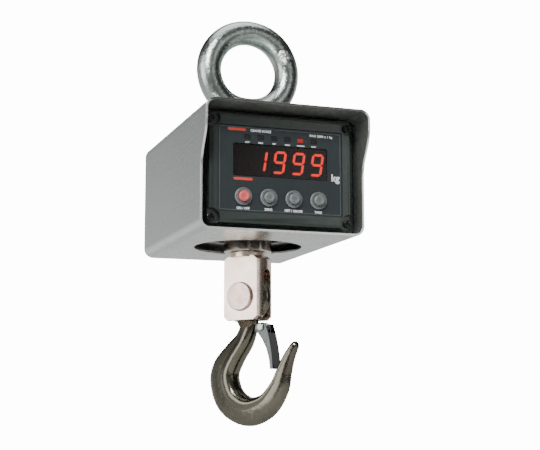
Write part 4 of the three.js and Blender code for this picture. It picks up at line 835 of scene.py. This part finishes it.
def plate_of(outline, back, thick):
    """A flat plate from an outline of (x, z) points in the label's plane: front, rim and back."""
    outline = np.asarray(outline, float)
    count = len(outline)
    front, rear = (np.insert(outline, 1, y, axis=1) for y in (back - thick, back))
    ring = np.arange(count)
    rim = np.stack([ring, np.roll(ring, -1), np.roll(ring, -1) + count, ring + count], 1).tolist()
    return np.concatenate([front, rear]), rim + [list(ring[::-1]), list(ring + count)]


def rounded_box(centre, width, height, radius, steps=6):
    """Outline of a rectangle with a quarter circle at each corner."""
    turn = np.linspace(0, math.pi / 2, steps)
    corners = [(1, 1, 0), (-1, 1, 1), (-1, -1, 2), (1, -1, 3)]
    half = np.array([width, height]) / 2 - radius
    return np.concatenate([
        centre + half * (sx, sz) + radius * np.stack([np.cos(turn + q * math.pi / 2),
                                                      np.sin(turn + q * math.pi / 2)], 1)
        for sx, sz, q in corners])


def frame_of(centre, width, height, line, radius):
    """A thin printed frame: an outer and an inner rounded rectangle joined by quads."""
    outer = rounded_box(centre, width, height, radius)
    inner = rounded_box(centre, width - 2 * line, height - 2 * line, max(radius - line, 0.1))
    rows = [(outer, -PRINT_THICK), (outer, 0), (inner, 0), (inner, -PRINT_THICK)]
    grid = np.stack([np.insert(edge, 1, LABEL_FACE + depth, axis=1) for edge, depth in rows])
    return sheet_of(grid, round_rows=True, round_columns=True)


def lettering(words, centre, height, weight=0.0, spread=1.0):
    """Words as flat letters a capital's height tall, centred on (x, z) in front of the label."""
    curve = bpy.data.curves.new("words", "FONT")
    curve.body, curve.align_x, curve.align_y = words, "CENTER", "CENTER"
    curve.size, curve.offset, curve.space_character = height / 0.7, weight, spread
    curve.extrude, curve.resolution_u = PRINT_THICK / 2, 3
    holder = bpy.data.objects.new("words", curve)
    bpy.context.scene.collection.objects.link(holder)
    bpy.context.view_layer.update()
    drawn = holder.evaluated_get(bpy.context.evaluated_depsgraph_get()).to_mesh()
    points = np.empty(len(drawn.vertices) * 3)
    drawn.vertices.foreach_get("co", points)
    points = points.reshape(-1, 3)
    faces = [list(face.vertices) for face in drawn.polygons]
    holder.to_mesh_clear()
    bpy.data.objects.remove(holder)
    bpy.data.curves.remove(curve)
    across, up, out = points.T
    placed = np.stack([centre[0] + across, LABEL_FACE - PRINT_THICK / 2 - out, centre[1] + up], 1)
    return placed, faces


PRINT_THICK = 0.05
white_print = [
    lettering("kg", (50.9, WINDOW_LOW + 2.6), 6.0, 0.34),
    lettering("MAX 2000 x 1 kg", (37.5, LABEL_HIGH - 4.2), 1.9, 0.14, 1.1),
    lettering("CRANE SCALE", (-18.5, LABEL_HIGH - 3.6), 2.0, 0.16, 1.05),
]
for words, x in zip(("ON / OFF", "ZERO", "NET / GROSS", "TARE"), BUTTON_PLACES):
    white_print.append(lettering(words, (x, BUTTON_LEVEL - 10.2), 1.9, 0.16, 1.05))
for words, x in zip(("LOW", "ZERO", "NET", "HOLD", "MOTION", "BATT"), STATUS_PLACES):
    white_print.append(lettering(words, (x, STATUS_LEVEL - 3.0), 1.15, 0.09, 1.1))
printed_white = ink("printed_white", (0.93, 0.945, 0.96))
printed_red = ink("printed_red", (0.72, 0.075, 0.045))
printed_line = ink("printed_line", (0.135, 0.16, 0.19))
words_mesh = mesh_of("label_words", white_print, outward=False)
new_piece("label_words", words_mesh, [printed_white], "case")
RED_BARS = ((-40.2, LABEL_HIGH - 3.2, 16.5, 2.5), (-34.5, WINDOW_LOW - 3.0, 17.5, 2.4))
red_bars = [plate_of(rounded_box((x, z), width, height, height / 2.2), LABEL_FACE, PRINT_THICK)
            for x, z, width, height in RED_BARS]
new_piece("label_red_bars", mesh_of("label_red_bars", red_bars), [printed_red], "case")
label_middle = ((LABEL_LEFT + LABEL_RIGHT) / 2, (LABEL_LOW + LABEL_HIGH) / 2)
border = frame_of(label_middle, LABEL_RIGHT - LABEL_LEFT - 2.4, LABEL_HIGH - LABEL_LOW - 2.4, 0.35, 1.2)
new_piece("label_border", mesh_of("label_border", [border]), [printed_line], "case")


# ---------------------------------------------------------------------------------------------
# Display: a smoked red-black window over five seven-segment LED digits, and six small status
# lights in a row above it, the fifth one lit.
def smoked_window():
    """Tinted acrylic: dark and glossy, with the faintest ripple and dust."""
    finish = Finish("smoked_window", Coat_Weight=0.35, Coat_Roughness=0.03, Specular_IOR_Level=0.2)
    ripple = finish.noise(35, 2)
    dust = finish.step(finish.noise(1600, 2), 0.66, 0.74)
    return finish.feed(Base_Color=finish.mix(ripple, (0.0035, 0.0016, 0.0018), (0.006, 0.0028, 0.0030)),
                       Roughness=0.06 + dust * 0.06, Alpha=0.60 + ripple * 0.04,
                       Normal=finish.bump(ripple, 0.005 * MM))


def light_from(name, dark, glow, strength, mask=None):
    """Tinted diffusing resin; where mask is 1 it is lit from behind, its glow faintly speckled."""
    finish = Finish(name, Emission_Strength=strength)
    spark = finish.noise(700, 2)
    finish.feed(Base_Color=finish.mix(spark, dark, tuple(1.4 * c for c in dark)),
                Roughness=0.35 + spark * 0.1)
    if not strength:
        return finish.material
    lit = finish.mix(spark, tuple(0.85 * c for c in glow), glow)
    if mask:
        lit = finish.mix(mask(finish), (0, 0, 0), lit)
    return finish.feed(Emission_Color=lit)


def fifth_window(finish):
    """1 within the fifth status light, 0 at the others."""
    along = finish.part_of(finish.node("ShaderNodeTexCoord", output="Object"), 0)
    return finish.step(along, (STATUS_PLACES[4] - 4) * MM, (STATUS_PLACES[4] - 3.6) * MM) * finish.step(
        along, (STATUS_PLACES[4] + 4) * MM, (STATUS_PLACES[4] + 3.6) * MM)


window_tint = smoked_window()
led_face = moulded("led_face", (0.008, 0.004, 0.005), (0.012, 0.006, 0.007), 0.6, 900, 0.002)
led_lit = light_from("led_lit", (0.25, 0.02, 0.012), (1.0, 0.035, 0.016), 9.5)
led_dark = light_from("led_dark", (0.012, 0.004, 0.004), (0, 0, 0), 0.0)
status_light = light_from("status_light", (0.010, 0.006, 0.007), (1.0, 0.04, 0.03), 0.45, fifth_window)
from_node("display_lens", [window_tint], "case", 0.25, 40, "display_window")
from_node("status_strip", [status_light], "case", 0.2, 40, "status_lights")
for i in range(1, 6):
    from_node(f"digit_{i}", [led_face], "case", 0.2, 40, f"digit_body_{i}")
DIGIT_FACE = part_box("digit_1")[0].y / MM
DIGIT_HIGH, DIGIT_WIDE, STROKE, SLANT = 20.3, 11.2, 2.2, math.tan(math.radians(9))
# Each segment: its two ends as shares of the digit's half width and half height, upper right first.
SEGMENTS = {"a": ((-1, 1), (1, 1)), "b": ((1, 1), (1, 0)), "c": ((1, 0), (1, -1)), "d": ((-1, -1), (1, -1)),
            "e": ((-1, -1), (-1, 0)), "f": ((-1, 0), (-1, 1)), "g": ((-1, 0), (1, 0))}
GLYPHS = {"1": "bc", "9": "abcdfg", " ": ""}


def segment(digit_x, ends):
    """A bar with pointed ends between two corners of a digit, leaned over by the slant."""
    half = np.array([DIGIT_WIDE - STROKE, DIGIT_HIGH - STROKE]) / 2
    start, end = (np.array(e) * half for e in ends)
    run = (end - start) / np.linalg.norm(end - start)
    side = np.array([-run[1], run[0]]) * STROKE / 2
    start, end = start + run * 0.25, end - run * 0.25
    tip = run * STROKE / 2
    outline = np.array([start, start + tip - side, end - tip - side,
                        end, end - tip + side, start + tip + side])
    outline[:, 0] += digit_x + outline[:, 1] * SLANT
    outline[:, 1] += (WINDOW_LOW + WINDOW_HIGH) / 2
    return plate_of(outline, DIGIT_FACE, 0.18)


lit, unlit = [], []
for glyph, i in zip(" 1999", range(1, 6)):
    low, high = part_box(f"digit_{i}")
    digit_x = (low.x + high.x) / 2 / MM
    for letter, ends in SEGMENTS.items():
        (lit if letter in GLYPHS[glyph] else unlit).append(segment(digit_x, ends))
new_piece("digits_lit", mesh_of("digits_lit", lit), [led_lit], "case")
new_piece("digits_unlit", mesh_of("digits_unlit", unlit), [led_dark], "case")


# ---------------------------------------------------------------------------------------------
# Keys: translucent rubbery caps in clear grey guide rings, the first cap red. Each cap has a
# domed rim and a shallow dish, and its plunger runs back to a switch on the board.
def tinted(name, dark, light, roughness=0.34):
    """Tinted translucent moulding: cloudy inside, with a painted highlight of paler colour where the rim
    attribute marks its edges, and a fine satin skin.
    """
    finish = Finish(name, Coat_Weight=0.25, Coat_Roughness=0.25)
    cloud = finish.noise(300, 3)
    # The rim attribute marks the edges that get a painted highlight; pale is its colour.
    rim = finish.node("ShaderNodeAttribute", {"attribute_name": "rim"}, None, 2)
    skin = finish.noise(1500, 2)
    body = finish.mix(cloud, dark, light)
    pale = tuple(min(1, 1.9 * c + 0.03) for c in light)
    return finish.feed(Base_Color=finish.mix(rim * 0.8, body, pale), Roughness=roughness + (skin - 0.5) * 0.1,
                       Normal=finish.bump(skin, 0.010 * MM))


def with_rim_highlight(mesh, centre, bands):
    """Adds the rim attribute, the mask for painted highlights on the edges: 1 where the distance from the
    key's axis lies in one of the bands.
    """
    points = np.empty(len(mesh.vertices) * 3)
    mesh.vertices.foreach_get("co", points)
    points = points.reshape(-1, 3) / MM
    off = np.hypot(points[:, 0] - centre[0], points[:, 2] - centre[1])
    rim = sum(np.exp(-((off - radius) / 0.28) ** 2) for radius in bands)
    values = mesh.attributes.new("rim", "FLOAT", "POINT").data
    values.foreach_set("value", np.clip(rim, 0, 1).astype(np.float32))
    return mesh


key_grey = tinted("key_grey", (0.10, 0.115, 0.118), (0.155, 0.175, 0.178))
key_red = tinted("key_red", (0.62, 0.075, 0.085), (0.78, 0.13, 0.13))
low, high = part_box("button_ring_1")
RING_FACE, RING_BACK, RING_RADIUS = low.y / MM, high.y / MM, 7.6
low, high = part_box("button_1")
CAP_FACE, CAP_BACK, CAP_RADIUS = low.y / MM, high.y / MM, 4.7
ring_profile = [(5.3, RING_BACK), (5.3, RING_FACE + 0.9), *arc((5.9, RING_FACE + 0.7), 0.6, 180, 270, 4),
                (6.2, RING_FACE + 0.1), (6.45, RING_FACE + 0.55), (6.75, RING_FACE + 0.55),
                (7.0, RING_FACE + 0.25),
                *arc((6.9, RING_FACE + 0.95), 0.7, -70, 0, 4), (RING_RADIUS, RING_BACK), (5.3, RING_BACK)]
cap_profile = [(0, CAP_FACE + 0.55), (1.3, CAP_FACE + 0.5), (2.5, CAP_FACE + 0.28), (3.05, CAP_FACE),
               *arc((3.3, CAP_FACE + 1.4), 1.4, -90, 0, 8), (CAP_RADIUS, CAP_FACE + 2.2),
               (CAP_RADIUS, CAP_BACK), (0, CAP_BACK)]
for i, x in enumerate(BUTTON_PLACES, 1):
    spot, middle = (x, 0, BUTTON_LEVEL), (x, BUTTON_LEVEL)
    ring_mesh, cap_mesh = (mesh_of(f"key_{kind}_{i}", [turned(profile, spot, "y", 56)])
                           for kind, profile in (("ring", ring_profile), ("cap", cap_profile)))
    # The two rim bands put painted highlights on the ring's inner and outer edges.
    ring = with_rim_highlight(ring_mesh, middle, (5.5, 7.45))
    new_piece(f"key_ring_{i}", ring, [key_grey], "case", [f"button_ring_{i}"])
    # Painted highlights on the cap's outer edge and on the edge of its dish.
    cap = with_rim_highlight(cap_mesh, middle, (4.65, 2.8))
    new_piece(f"key_cap_{i}", cap, [key_red if i == 1 else key_grey], f"button_{i}",
              [f"button_{i}"])


# ---------------------------------------------------------------------------------------------
# Cover screws: black pan heads with a cross recess, four in the bezel's pockets and four at the
# back. The head is a dome with the cross pressed into it.
HEAD_RADIUS, HEAD_HIGH, SCREW_RADIUS = 3.5, 2.6, 2.0


def screw_head(centre, face, side):
    """Polar grid: a low dome less a cross whose arms are 1.1 mm wide and fade out at its ends."""
    radius = np.concatenate([np.linspace(0, 2.3, 16), np.linspace(2.3, HEAD_RADIUS, 9)[1:]])[None, :]
    x, z = radius * np.cos(ROUND), radius * np.sin(ROUND)
    dome = 0.9 * (1 - np.sqrt(np.clip(1 - (radius / (HEAD_RADIUS + 0.02)) ** 2.6, 0, 1)))
    arm = lambda a, b: (1 - smoothstep(np.abs(a), 0.42, 0.72)) * (1 - smoothstep(np.abs(b), 1.5, 2.1))
    depth = dome + 1.25 * np.maximum(arm(x, z), arm(z, x))
    top = np.stack([x + centre[0], face + side * depth, z + centre[1]], -1)
    wall = [(HEAD_RADIUS, face + side * HEAD_HIGH), (SCREW_RADIUS, face + side * HEAD_HIGH)]
    return np.concatenate([top, screw_rings(centre, wall)], 1)


def screw_rings(centre, rings):
    """Circles about the screw's line, one for each (radius, y)."""
    return np.stack([np.concatenate([r * np.cos(ROUND) + centre[0], 0 * ROUND + y,
                                     r * np.sin(ROUND) + centre[1]], 1) for r, y in rings], 1)


ROUND = np.linspace(0, 2 * math.pi, 65)[:-1, None]
for place in ("bezel", "back"):
    for i in range(1, 5):
        low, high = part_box(f"{place}_screw_{i}")
        middle = ((low.x + high.x) / 2 / MM, (low.z + high.z) / 2 / MM)
        face, end, side = (low.y, high.y, 1) if place == "bezel" else (high.y, low.y, -1)
        tail = [(SCREW_RADIUS, end / MM - side), (SCREW_RADIUS - 1, end / MM), (0, end / MM)]
        grid = np.concatenate([screw_head(middle, face / MM, side), screw_rings(middle, tail)], 1)
        name = f"{place}_screw_cross_{i}"
        screw_mesh = mesh_of(name, [sheet_of(grid, round_rows=True)], smooth=45)
        new_piece(name, screw_mesh, [screw_black], "case", [f"{place}_screw_{i}"])


# ---------------------------------------------------------------------------------------------
# Back end: a brushed stainless cover on a gasket, with the charging socket near its top corner
# and a rubber flap over it.
cover_steel = brushed("cover_steel", (9, 900, 900), CASE_TONE, 0.36)
socket_plastic = moulded("socket_plastic", (0.012, 0.012, 0.013), (0.020, 0.020, 0.021), 0.34, 1200, 0.01)
flap_rubber = rubber("flap_rubber", (0.026, 0.026, 0.028), 0.58)
from_node("back_cover", [cover_steel], "case", 0.35, 40, "back_cover_sheet")
from_node("charge_socket", [socket_plastic], "case", 0.3, 32, "charge_socket_body")
from_node("charge_cap", [flap_rubber], "charge_flap", 0.45, 32, "charge_flap_rubber")


# ---------------------------------------------------------------------------------------------
# Inside: green display board with its switches, the sealed battery with its two tab terminals,
# and the two round leads that run between them and the load cell.
def solder_mask():
    """Green board: glossy mask with a grid of paler tracks just under it."""
    finish = Finish("board_green", Coat_Weight=0.4, Coat_Roughness=0.1)
    here = finish.node("ShaderNodeTexCoord", output="Object")
    tracks = finish.node("ShaderNodeTexBrick", {"offset": 0.5}, {
        "Vector": finish.node("ShaderNodeMapping", None, {"Vector": here, "Rotation": (math.pi / 2, 0, 0)}),
        "Scale": 260, "Mortar Size": 0.03,
        "Color1": (0, 0, 0, 1), "Color2": (0, 0, 0, 1), "Mortar": (1, 1, 1, 1)}, 1)
    cloud = finish.noise(80, 3)
    colour = finish.mix(cloud, (0.008, 0.075, 0.035), (0.016, 0.12, 0.055))
    return finish.feed(Base_Color=finish.mix(tracks * 0.4, colour, (0.05, 0.22, 0.10)),
                       Roughness=0.35 + cloud * 0.1, Normal=finish.bump(tracks, 0.03 * MM))


board_green = solder_mask()
battery_plastic = moulded("battery_plastic", (0.035, 0.038, 0.044), (0.052, 0.056, 0.063), 0.42, 800, 0.02)
lead_vinyl = moulded("lead_vinyl", (0.055, 0.055, 0.058), (0.082, 0.082, 0.086), 0.42, 700, 0.02)
from_node("display_board", [board_green], "case", 0.15, 40, "display_board_green")
from_node("battery", [battery_plastic], "case", 0.8, 40, "battery_box")
for node in ("load_cell_lead", "battery_lead"):
    from_node(node, [lead_vinyl], "case", 0, 70)


# ---------------------------------------------------------------------------------------------
# Sizes of the made object and of the finished one, side by side.
boxes = {"cad": CAD_BOX, "visual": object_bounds()}
{name: [list(corner) for corner in corners] for name, corners in boxes.items()}
